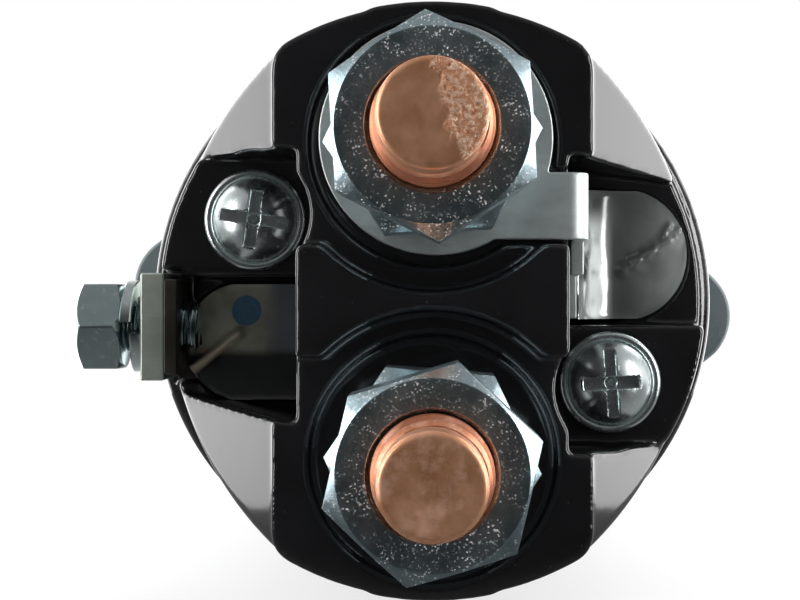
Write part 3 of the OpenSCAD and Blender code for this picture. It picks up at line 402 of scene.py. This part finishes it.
def finish_piece(obj, mat, body, replaced=(), bevel=0.0, angle=30, segments=2):
    obj.data.materials.clear()
    obj.data.materials.append(MATS[mat])
    obj.data.shade_smooth()
    if bevel:
        mod = obj.modifiers.new("edges", "BEVEL")
        mod.width = bevel * MM
        mod.segments = segments
        mod.limit_method = "ANGLE"
        mod.angle_limit = math.radians(angle)
        mod.use_clamp_overlap = False
        mod.miter_outer = "MITER_ARC"
        last = obj.modifiers.new("normals", "WEIGHTED_NORMAL")
        last.keep_sharp = True
    else:
        obj.data.set_sharp_from_angle(angle=math.radians(angle))
    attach(obj, body)
    if replaced:
        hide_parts(*replaced)
    return obj


def new_object(name, verts, faces):
    me = bpy.data.meshes.new(name)
    me.from_pydata([tuple(v) for v in verts], [], faces)
    bm = bmesh.new()
    bm.from_mesh(me)
    bmesh.ops.remove_doubles(bm, verts=bm.verts, dist=1e-7)
    bmesh.ops.dissolve_degenerate(bm, edges=bm.edges, dist=1e-7)
    bmesh.ops.recalc_face_normals(bm, faces=bm.faces)
    bm.to_mesh(me)
    bm.free()
    obj = bpy.data.objects.new(name, me)
    scene.collection.objects.link(obj)
    return obj


def node_copy(name, node, mat, body, bevel, angle, segments):
    """A copy of a CAD node with its flat faces joined up and its edges rounded."""
    me = nodes[node].data.copy()
    me.name = name
    bm = bmesh.new()
    bm.from_mesh(me)
    bmesh.ops.remove_doubles(bm, verts=bm.verts, dist=WELD)
    bmesh.ops.dissolve_limit(bm, angle_limit=math.radians(0.6), verts=bm.verts, edges=bm.edges)
    bmesh.ops.recalc_face_normals(bm, faces=bm.faces)
    bm.to_mesh(me)
    bm.free()
    for key in ("custom_normal", "sharp_edge", "sharp_face"):
        if key in me.attributes:
            me.attributes.remove(me.attributes[key])
    obj = bpy.data.objects.new(name, me)
    scene.collection.objects.link(obj)
    return finish_piece(obj, mat, body, (node,), bevel, angle, segments)


def moulded_copy(name, node, mat, body, grain, passes):
    """A copy of a CAD node with the soft edges of a moulding: fine cells, then smoothed."""
    me = nodes[node].data.copy()
    me.name = name
    bm = bmesh.new()
    bm.from_mesh(me)
    bmesh.ops.remove_doubles(bm, verts=bm.verts, dist=WELD)
    bm.to_mesh(me)
    bm.free()
    askew = (Matrix.Rotation(0.5, 4, "X") @ Matrix.Rotation(0.37, 4, "Y")
             @ Matrix.Rotation(0.61, 4, "Z"))
    me.transform(askew)
    obj = bpy.data.objects.new(name, me)
    scene.collection.objects.link(obj)
    for count in passes:
        mesh = obj.modifiers.new("cells", "REMESH")
        mesh.mode = "VOXEL"
        mesh.voxel_size = grain * MM
        mesh.use_smooth_shade = True
        soft = obj.modifiers.new("soft", "SMOOTH")
        soft.factor = 0.5
        soft.iterations = count
    bpy.context.view_layer.update()
    graph = bpy.context.evaluated_depsgraph_get()
    smooth = bpy.data.meshes.new_from_object(obj.evaluated_get(graph))
    obj.modifiers.clear()
    obj.data = smooth
    smooth.transform(askew.inverted())
    return finish_piece(obj, mat, body, (node,), angle=180)


def ring_faces(rings, seg, closed=False):
    """Faces between rings of seg points; a closed set of rings joins its last to its first."""
    return [(i * seg + k, i * seg + (k + 1) % seg,
             (i + 1) % rings * seg + (k + 1) % seg, (i + 1) % rings * seg + k)
            for i in range(rings if closed else rings - 1) for k in range(seg)]


def end_caps(rings, seg):
    return [tuple(range(seg))[::-1], tuple(range((rings - 1) * seg, rings * seg))]


class Shells:
    """Closed shells in mm, gathered for one mesh."""

    def __init__(self):
        self.verts, self.faces = [], []

    def add(self, verts, faces, place=lambda v: v):
        base = len(self.verts)
        self.verts.extend(place(np.asarray(v, float)) for v in verts)
        self.faces.extend([tuple(base + i for i in f) for f in faces])

    def lathe(self, profile, seg=96, place=lambda v: v, wobble=None):
        """A shell turned from (r, z) pairs that start and end on the axis or close on themselves."""
        ring = [[(r * math.cos(a), r * math.sin(a), z)
                 for a in (2 * math.pi * k / seg for k in range(seg))] for r, z in profile]
        verts = [v for one in ring for v in one]
        if wobble:
            verts = [wobble(v) for v in verts]
        self.add(verts, ring_faces(len(profile), seg), place)

    def thread(self, big, small, pitch, z0, z1, limit, seg, place):
        """A right-hand thread whose rows follow the helix; both ends close on the axis."""
        profile = ((0.0, big), (0.12, big), (0.43, small), (0.69, small))
        turns = int((z1 - z0) / pitch) + 3
        rows = [(t + u, r) for t in range(-1, turns) for u, r in profile]
        verts, faces = [], []
        for at, r in rows:
            for k in range(seg):
                z = z0 + pitch * (at + k / seg)
                a = 2 * math.pi * k / seg
                rr = 0.0 if z < z0 or z > z1 else min(r, limit(z))
                verts.append((rr * math.cos(a), rr * math.sin(a), min(max(z, z0), z1)))
        n = len(profile)
        for j in range(len(rows) - 1):
            for k in range(seg - 1):
                faces.append((j * seg + k, j * seg + k + 1, (j + 1) * seg + k + 1, (j + 1) * seg + k))
            if j + n + 1 < len(rows):
                faces.append((j * seg + seg - 1, (j + n) * seg,
                              (j + n + 1) * seg, (j + 1) * seg + seg - 1))
        self.add(verts, faces, place)

    def tube(self, path, r, sides):
        """A round bar along points, with flat ends."""
        p = np.asarray(path, float)
        t = np.gradient(p, axis=0)
        t /= np.linalg.norm(t, axis=1)[:, None]
        up = np.cross(t[0], (0.0, 0.0, 1.0))
        if np.linalg.norm(up) < 0.1:
            up = np.cross(t[0], (1.0, 0.0, 0.0))
        verts = []
        for q, d in zip(p, t):
            up = up - d * np.dot(up, d)
            up /= np.linalg.norm(up)
            side = np.cross(d, up)
            for k in range(sides):
                a = 2 * math.pi * k / sides
                verts.append(q + r * (math.cos(a) * up + math.sin(a) * side))
        self.add(verts, ring_faces(len(p), sides) + end_caps(len(p), sides))

    def build(self, name):
        return new_object(name, row(self.verts), self.faces)


def arc(cx, cz, r, a0, a1, steps):
    return [(cx + r * math.cos(math.radians(a)), cz + r * math.sin(math.radians(a)))
            for a in np.linspace(a0, a1, steps)]


def at(x, y, z):
    return lambda v: v + np.array((x, y, z))


def stud(name, node, y, nut_z, mat, worn):
    s = Shells()
    thread_end = nut_z + 2 * NUT_H + 4.3
    tip = thread_end + 4.7
    s.lathe([(0, 71.0), (4.95, 71.0), (4.95, nut_z + 0.6), (0, nut_z + 0.6)], place=at(0, y, 0))
    half, low, high, cut = 6.5, 67.8, 71.8, 1.2
    corners = [(sx * (half - (cut if k else 0)), sy * (half - (0 if k else cut)))
               for sx, sy, order in ((1, 1, (0, 1)), (-1, 1, (1, 0)), (-1, -1, (0, 1)), (1, -1, (1, 0)))
               for k in order]
    s.add([(x, yy + y, z) for z in (low, high) for x, yy in corners], end_caps(2, 8) + ring_faces(2, 8))
    s.thread(STUD_R - 0.03, STUD_R - 0.9, 1.5, nut_z + 0.3, thread_end,
             lambda z: STUD_R - 0.03 - max(0.0, z - (thread_end - 3.0)) * 0.22, 72, at(0, y, 0))
    profile = [(0, thread_end - 1.2), (4.12, thread_end - 1.2), (4.2, thread_end - 0.5)]
    profile += [(4.25, thread_end + 0.3), (4.25, tip - 0.62)] + arc(3.72, tip - 0.53, 0.53, 0, 90, 7)
    profile += [(r, tip) for r in np.linspace(3.5, 0, 22)]

    def wobble(v):
        x, yy, z = v
        r = math.hypot(x, yy)
        if z < tip - 0.75:
            return v
        p = Vector((x * 1.3, yy * 1.3, worn * 5.0))
        if worn:
            side = min(1.0, max(0.0, (x - 0.985 + 0.3 * yy) / 0.5))
            dent = noise.noise(p * 2.2) * 0.10 + noise.noise(p * 6) * 0.05
            drop = side * (dent - 0.10) - 0.05 * (1 - side)
        else:
            drop = 0.02 * noise.noise(p) - 0.035 * max(0.0, 1 - r / 3.4) ** 0.5
        return (x, yy, z + min(0.0, drop) * min(1.0, (4.25 - r) / 0.5))

    s.lathe(profile, place=at(0, y, 0), wobble=wobble)
    obj = s.build(name)
    return finish_piece(obj, mat, "housing", (node,), angle=32)


def hex_ring(theta, af):
    return af / 2 / math.cos((theta % (math.pi / 3)) - math.pi / 6)


def nut(name, node, y, z, turn):
    s = Shells()
    seg = 120
    flat_r, bore, sink = NUT_AF / 2 * 0.99, STUD_R + 0.04, STUD_R + 0.42
    rings = 10
    verts = []
    for kind in range(rings):
        for k in range(seg):
            a = 2 * math.pi * k / seg
            big = hex_ring(a, NUT_AF)
            fall = (big - flat_r) * math.tan(math.radians(30))
            r, h = ((bore, NUT_SINK), (sink, 0.0), (flat_r, 0.0), (big, fall),
                    (big, NUT_H - NUT_LIP - fall), (flat_r + 0.02, NUT_H - NUT_LIP),
                    (flat_r - 0.13, NUT_H), (flat_r - 0.5, NUT_H), (sink, NUT_H),
                    (bore, NUT_H - NUT_SINK))[kind]
            b = a + math.radians(turn)
            verts.append((r * math.cos(b), r * math.sin(b) + y, h + z))
    s.add(verts, ring_faces(rings, seg, closed=True))
    obj = s.build(name)
    return finish_piece(obj, "zinc", "housing", (node,), bevel=0.05, angle=28)


def boolean(obj, cutter):
    mod = obj.modifiers.new("cut", "BOOLEAN")
    mod.object = cutter
    mod.operation = "DIFFERENCE"
    mod.solver = "EXACT"
    bpy.context.view_layer.update()
    graph = bpy.context.evaluated_depsgraph_get()
    me = bpy.data.meshes.new_from_object(obj.evaluated_get(graph))
    obj.modifiers.clear()
    obj.data = me
    bpy.data.objects.remove(cutter)


def cap_screws():
    body = Shells()
    cutters = []
    rim_r, rim_h, dome_r, high = 4.8, 0.9, 3.95, 3.1
    ball = (dome_r ** 2 + (high - rim_h) ** 2) / (2 * (high - rim_h))
    edge = math.degrees(math.asin(dome_r / ball))
    profile = [(0, -17.2), (2.3, -17.2), (2.5, -17.0), (2.5, 0.0), (4.62, 0.0), (rim_r, 0.16)]
    profile += arc(rim_r - 0.42, rim_h - 0.42, 0.42, 0, 165, 14)
    profile += [(ball * math.sin(math.radians(a)), high - ball + ball * math.cos(math.radians(a)))
                for a in np.linspace(edge, 0, 22)]
    for x, y, turn in ((-16.8, 7.7, 172.0), (16.8, -7.7, 94.0)):
        c, sn = math.cos(math.radians(turn)), math.sin(math.radians(turn))

        def put(v, x=x, y=y, c=c, sn=sn):
            return np.array((x + v[0] * c - v[1] * sn, y + v[0] * sn + v[1] * c, v[2] + PAD_Z))

        body.lathe(profile, 96, put)
        for half_x, half_y, deep, lean in ((3.86, 0.6, 1.3, 0.06), (0.6, 2.8, 1.45, 0.16)):
            top = high + 1.0
            low = high - deep
            box = [(sx * (half_x - (lean * (half_x > 1) if z == low else 0)),
                    sy * (half_y - (lean if z == low else 0)), z)
                   for z in (low, top) for sx, sy in ((1, 1), (-1, 1), (-1, -1), (1, -1))]
            one = Shells()
            one.add(box, end_caps(2, 4) + ring_faces(2, 4), put)
            cutters.append(one)
        one = Shells()
        one.lathe([(0, high - 2.3), (0.35, high - 2.2), (1.25, high + 0.4), (0, high + 0.4)], 12, put)
        cutters.append(one)
    obj = body.build("cap_screw_pair")
    for one in cutters:
        boolean(obj, one.build("cutter"))
    return finish_piece(obj, "zinc_screw", "housing", ("cap_screws",), bevel=0.07, angle=35)


def start_place(v):
    """From a frame whose z runs outwards along the start screw to the part's own."""
    return np.array((-v[2], START_Y + v[0], START_Z + v[1]))


def start_screw():
    s = Shells()
    seg, under, high = 120, START_HEAD, START_HEAD + START_H
    flat_r = START_AF / 2 * 0.96
    rings = 5
    verts = []
    for kind in range(rings):
        for k in range(seg):
            a = 2 * math.pi * k / seg
            big = hex_ring(a, START_AF)
            fall = (big - flat_r) * math.tan(math.radians(32))
            r, h = ((0.001, under), (flat_r, under), (big, under + fall),
                    (big, high - fall), (flat_r, high))[kind]
            b = a + math.radians(30)
            verts.append((r * math.cos(b), r * math.sin(b), h))
    s.add(verts, ring_faces(rings, seg) + end_caps(rings, seg), start_place)
    s.thread(2.48, 2.02, 0.8, 22.12, START_HEAD + 0.4,
             lambda z: 2.0 + max(0.0, z - 22.1) * 0.8, 56, start_place)
    obj = s.build("start_terminal_screw")
    return finish_piece(obj, "zinc_start", "housing", ("start_screw",), bevel=0.06, angle=25)


def spring_washer():
    s = Shells()
    r_in, r_out, t, gap = 2.75, 4.35, 1.08, 2.08
    base = START_HEAD - 2.07
    steps, turn, start = 90, 344.0, 100.0
    half, cut = t / 2, 0.12
    section = ((r_out, -half + cut), (r_out, half - cut), (r_out - cut, half), (r_in + cut, half),
               (r_in, half - cut), (r_in, -half + cut), (r_in + cut, -half), (r_out - cut, -half))
    verts = []
    for i in range(steps + 1):
        a = math.radians(start + turn * i / steps)
        z = base + t / 2 + (gap - t) * i / steps
        verts += [(r * math.cos(a), r * math.sin(a), z + dz) for r, dz in section]
    n = len(section)
    s.add(verts, ring_faces(steps + 1, n) + end_caps(steps + 1, n), start_place)
    obj = s.build("start_lock_washer")
    return finish_piece(obj, "zinc_washer", "housing", ("start_spring_washer",), angle=30)


def coil(name, node, body, mean_r, wire_r, z0, length, turns):
    """A spring with its end turns closed up, wound from its fixed end."""
    s = Shells()
    count = int(turns * 48)
    share = np.linspace(0, 1, count + 1)
    end = 0.9 / turns
    rise = np.where(share < end, 0.55 + 0.45 * share / end,
                    np.where(share > 1 - end, 0.55 + 0.45 * (1 - share) / end, 1.0))
    climb = np.concatenate([[0], np.cumsum((rise[1:] + rise[:-1]) / 2)])
    climb /= climb[-1]
    a = 2 * math.pi * turns * share
    path = np.stack([mean_r * np.cos(a), mean_r * np.sin(a),
                     z0 + wire_r + (length - 2 * wire_r) * climb], 1)
    s.tube(path, wire_r, 14)
    obj = s.build(name)
    finish_piece(obj, "spring_steel", body, (node,), angle=50)
    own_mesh(obj)
    return obj


def resin_top(level, wall, px, py, ripple):
    """Height of the resin before its ridges: it creeps up a wall and ripples away from it."""
    z = level - CREEP_DROP + CREEP_H * math.exp(-max(0.0, wall) / CREEP_FAR)
    return z + ripple * noise.noise(Vector((px * 0.35, py * 0.35, 3.1)))


def potting(side, pocket, ridge):
    """Poured resin as a closed slab whose top has a meniscus, ripples and the ridge over a wire."""
    pocket_r, pocket_y, level, ripple = pocket
    nx, ny = 120, 90
    half = math.sqrt(7.5 ** 2 - (7.5 - (level - POCKET_Z)) ** 2) - 0.06
    half = min(half, pocket_r - 0.15)
    top, low = [], []
    for i in range(nx + 1):
        for j in range(ny + 1):
            v = half * (2 * j / ny - 1)
            x_out = POCKET_END + math.sqrt(max(0.0, (pocket_r - 0.05) ** 2 - v * v))
            start = 13.82 if side > 0 else 12.05
            x = start + (x_out - start) * i / nx
            wall = min(half + 0.06 - abs(v), pocket_r - math.hypot(max(0.0, x - POCKET_END), v),
                       9.0 if side > 0 else x - POCKET_SIDE)
            px, py = side * x, side * (pocket_y + v)
            z = min(resin_top(level, wall, px, py, ripple) + ridge(px, py), level + 4.0)
            top.append((px, py, z))
            low.append((px, py, max(POCKET_Z + 0.02, level - 1.9)))
    n = (nx + 1) * (ny + 1)

    def idx(i, j):
        return i * (ny + 1) + j

    faces = [(idx(i, j), idx(i + 1, j), idx(i + 1, j + 1), idx(i, j + 1))
             for i in range(nx) for j in range(ny)]
    faces += [tuple(n + k for k in f[::-1]) for f in faces[:nx * ny]]
    rim = [idx(i, 0) for i in range(nx)] + [idx(nx, j) for j in range(ny)]
    rim += [idx(i, ny) for i in range(nx, 0, -1)] + [idx(0, j) for j in range(ny, 0, -1)]
    faces += [(a, b, n + b, n + a) for a, b in zip(rim, rim[1:] + rim[:1])]
    return top + low, faces


def line_share(px, py, a, b):
    """How far along a line a point is, and how far from it."""
    d = np.array(b, float) - np.array(a, float)
    t = ((px - a[0]) * d[0] + (py - a[1]) * d[1]) / float(d @ d)
    u = min(1.0, max(0.0, t))
    return u, math.hypot(px - a[0] - u * d[0], py - a[1] - u * d[1])


def right_ridge(px, py):
    """The crinkled skin over the wire, and the rise over the strap's soldered foot."""
    z = 0.0
    for a, b, high, wide in (((23.7, 6.2), (18.7, 3.05), 0.8, 0.72),
                             ((23.2, 7.4), (22.2, 5.4), 0.55, 0.34),
                             ((24.1, 7.0), (23.2, 5.9), 0.5, 0.3),
                             ((20.6, 4.9), (19.0, 4.3), 0.35, 0.3)):
        u, far = line_share(px, py, a, b)
        crinkle = 1 + 0.35 * noise.noise(Vector((u * 8, far * 2.2, 1.7)))
        spread = wide * (1 + 0.2 * noise.noise(Vector((u * 6, 5, 0))))
        z = max(z, high * crinkle * math.exp(-(far / spread) ** 2))
    side = max(0.0, 18.9 - px)
    return z + 5.0 - math.sqrt(max(0.6, 25.0 - side ** 2))


def left_ridge(px, py):
    """The rise over the start lead under the resin."""
    z = 0.0
    for a, b, high in (((-24.8, -7.1), (-22.0, -5.6), 0.8), ((-22.0, -5.6), (-18.9, -3.1), 0.9)):
        u, far = line_share(px, py, a, b)
        z = max(z, high * math.exp(-(far / 0.5) ** 2))
    return z


def paint_dot():
    """A dab of paint on the resin of the start side."""
    s = Shells()
    cx, cy, r = -18.2, -0.95, 1.58
    rings, seg = 10, 40
    verts = [(cx, cy)]
    for i in range(1, rings + 1):
        for k in range(seg):
            a = 2 * math.pi * k / seg
            uneven = 1 + 0.05 * noise.noise(Vector((math.cos(a) * 2, math.sin(a) * 2, 9)))
            rr = r * i / rings * uneven
            verts.append((cx + rr * math.cos(a), cy + rr * math.sin(a)))
    top = []
    for x, y in verts:
        share = math.hypot(x - cx, y - cy) / r
        z = start_resin_z(x, y) + 0.07 * max(0.0, 1 - share ** 4) - 0.02
        top.append((x, y, z))
    low = [(x, y, z - 0.25) for x, y, z in top]
    n = len(top)
    faces = [(0, 1 + k, 1 + (k + 1) % seg) for k in range(seg)]
    faces += [(1 + i * seg + k, 1 + (i + 1) * seg + k,
               1 + (i + 1) * seg + (k + 1) % seg, 1 + i * seg + (k + 1) % seg)
              for i in range(rings - 1) for k in range(seg)]
    faces += [tuple(n + v for v in f[::-1]) for f in faces]
    last = 1 + (rings - 1) * seg
    faces += [(last + k, n + last + k, n + last + (k + 1) % seg, last + (k + 1) % seg)
              for k in range(seg)]
    s.add(top + low, faces)
    return finish_piece(s.build("paint_dot"), "blue_dot", "housing", angle=50)


def start_resin_z(px, py):
    """Height of the left pocket's resin at a point."""
    pocket_r, pocket_y, level, ripple = LEFT_POCKET
    v = -py - pocket_y
    wall = min(5.6 - abs(v), pocket_r - math.hypot(max(0.0, -px - POCKET_END), v), -px - POCKET_SIDE)
    return resin_top(level, wall, px, py, ripple) + left_ridge(px, py)


def solder_cone():
    """The solder round the start lead."""
    s = Shells()
    profile = [(0, 61.45), (1.7, 61.5), (1.5, 61.6), (1.0, 61.74), (0.8, 61.78), (0, 61.8)]
    s.lathe(profile, 40, at(-22, -5.4, 0))
    obj = s.build("solder_cone")
    return finish_piece(obj, "solder", "housing", ("solder_joints",), angle=50)


def resin_pour():
    s = Shells()
    s.add(*potting(1, RIGHT_POCKET, right_ridge))
    s.add(*potting(-1, LEFT_POCKET, left_ridge))
    obj = s.build("lead_resin")
    return finish_piece(obj, "resin", "housing", ("lead_potting",), angle=50)


moulded_copy("moulded_cap", "terminal_cap", "cap_moulding", "housing", 0.19, (18, 16))
node_copy("flange_plate", "mounting_flange", "flange_paint", "housing", 0.5, 32, 3)
node_copy("case_can", "case_shell", "case_paint", "housing", 0.25, 32, 2)
node_copy("motor_link", "motor_strap", "strap_zinc", "housing", 0.16, 32, 2)
node_copy("start_angle", "start_bracket", "bracket_painted_shade", "housing", 0.14, 32, 2)
node_copy("start_clamp", "clamp_plate", "clamp_zinc", "housing", 0.22, 32, 3)
stud("motor_stud_m10", "motor_stud", STUD_Y, MOTOR_NUT_Z, "copper_worn", 1)
stud("battery_stud_m10", "battery_stud", -STUD_Y, BATTERY_NUT_Z, "copper", 0)
nut("motor_nut_low", "motor_inner_nut", STUD_Y, MOTOR_NUT_Z, 3.6)
nut("motor_nut_top", "motor_cable_nut", STUD_Y, MOTOR_NUT_Z + NUT_H, 33.5)
nut("battery_nut_low", "battery_inner_nut", -STUD_Y, BATTERY_NUT_Z, -4.5)
nut("battery_nut_top", "battery_cable_nut", -STUD_Y, BATTERY_NUT_Z + NUT_H, 17.0)
cap_screws()
start_screw()
spring_washer()
resin_pour()
paint_dot()
solder_cone()
node_copy("plunger_body", "plunger", "plunger_steel", "plunger_group", 0.12, 32, 2)
node_copy("retainer_plate", "spring_retainer", "zinc_screw", "plunger_group", 0.2, 32, 2)
node_copy("groove_ring", "snap_ring", "spring_steel", "plunger_group", 0.15, 32, 2)
node_copy("end_washer", "plunger_end_washer", "zinc_screw", "plunger_group", 0.2, 32, 2)
node_copy("hook_forging", "hook_rod", "hook_steel", "hook", 0.5, 32, 3)
coil("return_coil", "return_spring", "housing", (13.4 + 17.5) / 2 - 0.1, 0.75, -23.4, 20.4, 4.9)
coil("engaging_coil", "engaging_spring", "plunger_group", 6.4, 0.8, -25.0, 19.7, 6.6)
coil("contact_coil", "contact_spring", "contact_rod_group", 3.9, 0.5, 56.3, 5.5, 2.9)
coil("contact_lift_coil", "contact_return_spring", "housing", 2.8, 0.4, 66.8, 9.2, 5.0)

NODE_MATS = {
    "bobbin": "bobbin_resin", "pull_in_winding": "winding_wire", "hold_in_winding": "winding_wire",
    "fixed_core": "core_iron", "cap_gasket": "seal_rubber", "stud_seals": "seal_rubber",
    "pull_in_lead": "winding_wire", "start_lead": "winding_wire",
    "contact_rod": "plunger_steel", "rod_clip": "spring_steel", "contact_plate": "copper",
    "lower_insulator": "insulator_fibre", "upper_insulator": "insulator_fibre",
}
for node_name, mat_name in NODE_MATS.items():
    slots = nodes[node_name].data.materials
    if len(slots) == 0:
        slots.append(MATS[mat_name])
    for k in range(len(slots)):
        slots[k] = MATS[mat_name]

# Floor, light and camera

floor_mesh = bpy.data.meshes.new("floor")
floor_mesh.from_pydata([(x * FLOOR_HALF, y * FLOOR_HALF, FLOOR_Z)
                        for x, y in ((-1, -1), (1, -1), (1, 1), (-1, 1))], [], [(0, 1, 2, 3)])
floor = bpy.data.objects.new("floor", floor_mesh)
scene.collection.objects.link(floor)
fm = Nodes("floor_paper")
paper = fm.mix(fm.span(fm.noise(90, 2), 0.3, 0.7), rgb(0.86, 0.86, 0.86), rgb(0.9, 0.9, 0.9))
fm.set(Base_Color=paper, Roughness=0.9)
glow = fm.add("ShaderNodeEmission")
glow.inputs[0].default_value = rgb(1, 1, 1)
blend = fm.add("ShaderNodeMixShader")
path = fm.add("ShaderNodeLightPath")
far = fm.add("ShaderNodeVectorMath", operation="LENGTH")
fm.link(fm.place, far.inputs[0])
near = fm.span(far.outputs["Value"], 0.07, 0.22, 0.75, 1.0, smooth=True)
looked_at = fm.math("MAXIMUM", path.outputs["Is Camera Ray"], path.outputs["Is Transmission Ray"])
shown = fm.math("MAXIMUM", fm.math("MULTIPLY", looked_at, near), path.outputs["Is Glossy Ray"])
fm.link(shown, blend.inputs[0])
behind = fm.span(fm.part(1), -0.13, 0.06, 0.02, 1.0, smooth=True)
fm.link(fm.math("MAXIMUM", looked_at, behind), glow.inputs[1])
fm.link(fm.shader.outputs[0], blend.inputs[1])
fm.link(glow.outputs[0], blend.inputs[2])
fm.link(blend.outputs[0], fm.out.inputs[0])
floor_mesh.materials.append(fm.mat)

world = bpy.data.worlds.new("studio")
scene.world = world
world.use_nodes = True
wt = world.node_tree
wt.nodes.clear()


def wnode(kind, **values):
    node = wt.nodes.new(kind)
    for key, value in values.items():
        setattr(node, key, value)
    return node


def wmath(operation, a, b=None):
    node = wnode("ShaderNodeMath", operation=operation)
    wt.links.new(a, node.inputs[0])
    if b is not None:
        wt.links.new(b, node.inputs[1])
    return node.outputs[0]


def wspan(value, *ends):
    node = wnode("ShaderNodeMapRange", interpolation_type="SMOOTHSTEP")
    wt.links.new(value, node.inputs["Value"])
    for key, end in zip(SPAN_ENDS, ends):
        node.inputs[key].default_value = end
    return node.outputs[0]


# Rough surfaces see an even grey; glossy ones see it darker towards the camera, above and below
w_plain, w_seen = wnode("ShaderNodeBackground"), wnode("ShaderNodeBackground")
for ground in (w_plain, w_seen):
    ground.inputs[0].default_value = rgb(1, 1, 1)
w_plain.inputs[1].default_value = 0.55
w_rays = wnode("ShaderNodeLightPath").outputs
w_split = wnode("ShaderNodeSeparateXYZ")
wt.links.new(wnode("ShaderNodeTexCoord").outputs["Generated"], w_split.inputs[0])
w_dim = wspan(w_split.outputs[1], -0.96, -0.35, 0.04, 0.9)
w_side = wspan(wmath("ABSOLUTE", w_split.outputs[2]), 0.3, 0.85, 1.0, 0.4)
w_glow = wmath("MAXIMUM", wmath("MULTIPLY", w_dim, w_side), w_rays["Is Camera Ray"])
wt.links.new(w_glow, w_seen.inputs[1])
w_any = wmath("MAXIMUM", w_rays["Is Camera Ray"], w_rays["Is Glossy Ray"])
w_mix = wnode("ShaderNodeMixShader")
wt.links.new(wmath("MAXIMUM", w_any, w_rays["Is Transmission Ray"]), w_mix.inputs[0])
wt.links.new(w_plain.outputs[0], w_mix.inputs[1])
wt.links.new(w_seen.outputs[0], w_mix.inputs[2])
wt.links.new(w_mix.outputs[0], wnode("ShaderNodeOutputWorld").inputs[0])


def soft_light(name, place, aim, size, power):
    data = bpy.data.lights.new(name, "AREA")
    data.shape = "RECTANGLE"
    data.size, data.size_y = size
    data.energy = power
    obj = bpy.data.objects.new(name, data)
    scene.collection.objects.link(obj)
    obj.location = place
    obj.rotation_euler = (Vector(aim) - Vector(place)).to_track_quat("-Z", "Y").to_euler()
    obj.visible_camera = False
    return obj


for side, x, power in (("left", -1, 0.162), ("right", 1, 0.19)):
    soft_light("side_" + side, (0.075 * x, 0.026, 0.036), (0, 0.026, 0.036), (0.152, 0.125), power)
for side, x in (("left", -1), ("right", 1)):
    soft_light("strip_" + side, (0.118 * x, -0.125, 0.0), (0, -0.075, 0), (0.018, 0.16), 0.12)
top = soft_light("top", (0.0, 0.12, 0.6), (0, -0.05, 0), (0.7, 0.5), 3.6)
top.visible_glossy = False

camera = bpy.data.cameras.new("camera")
camera.lens = FOCAL_PX / PHOTO_W * SENSOR_W
camera.sensor_width = SENSOR_W
camera.shift_x = -0.0406
camera.shift_y = 0.00125
camera.clip_start = 0.01
eye = bpy.data.objects.new("camera", camera)
scene.collection.objects.link(eye)
eye.location = (0, -CAMERA_FAR, 0)
eye.rotation_euler = (math.radians(90), 0, 0)
scene.camera = eye
scene.view_settings.view_transform = "Standard"
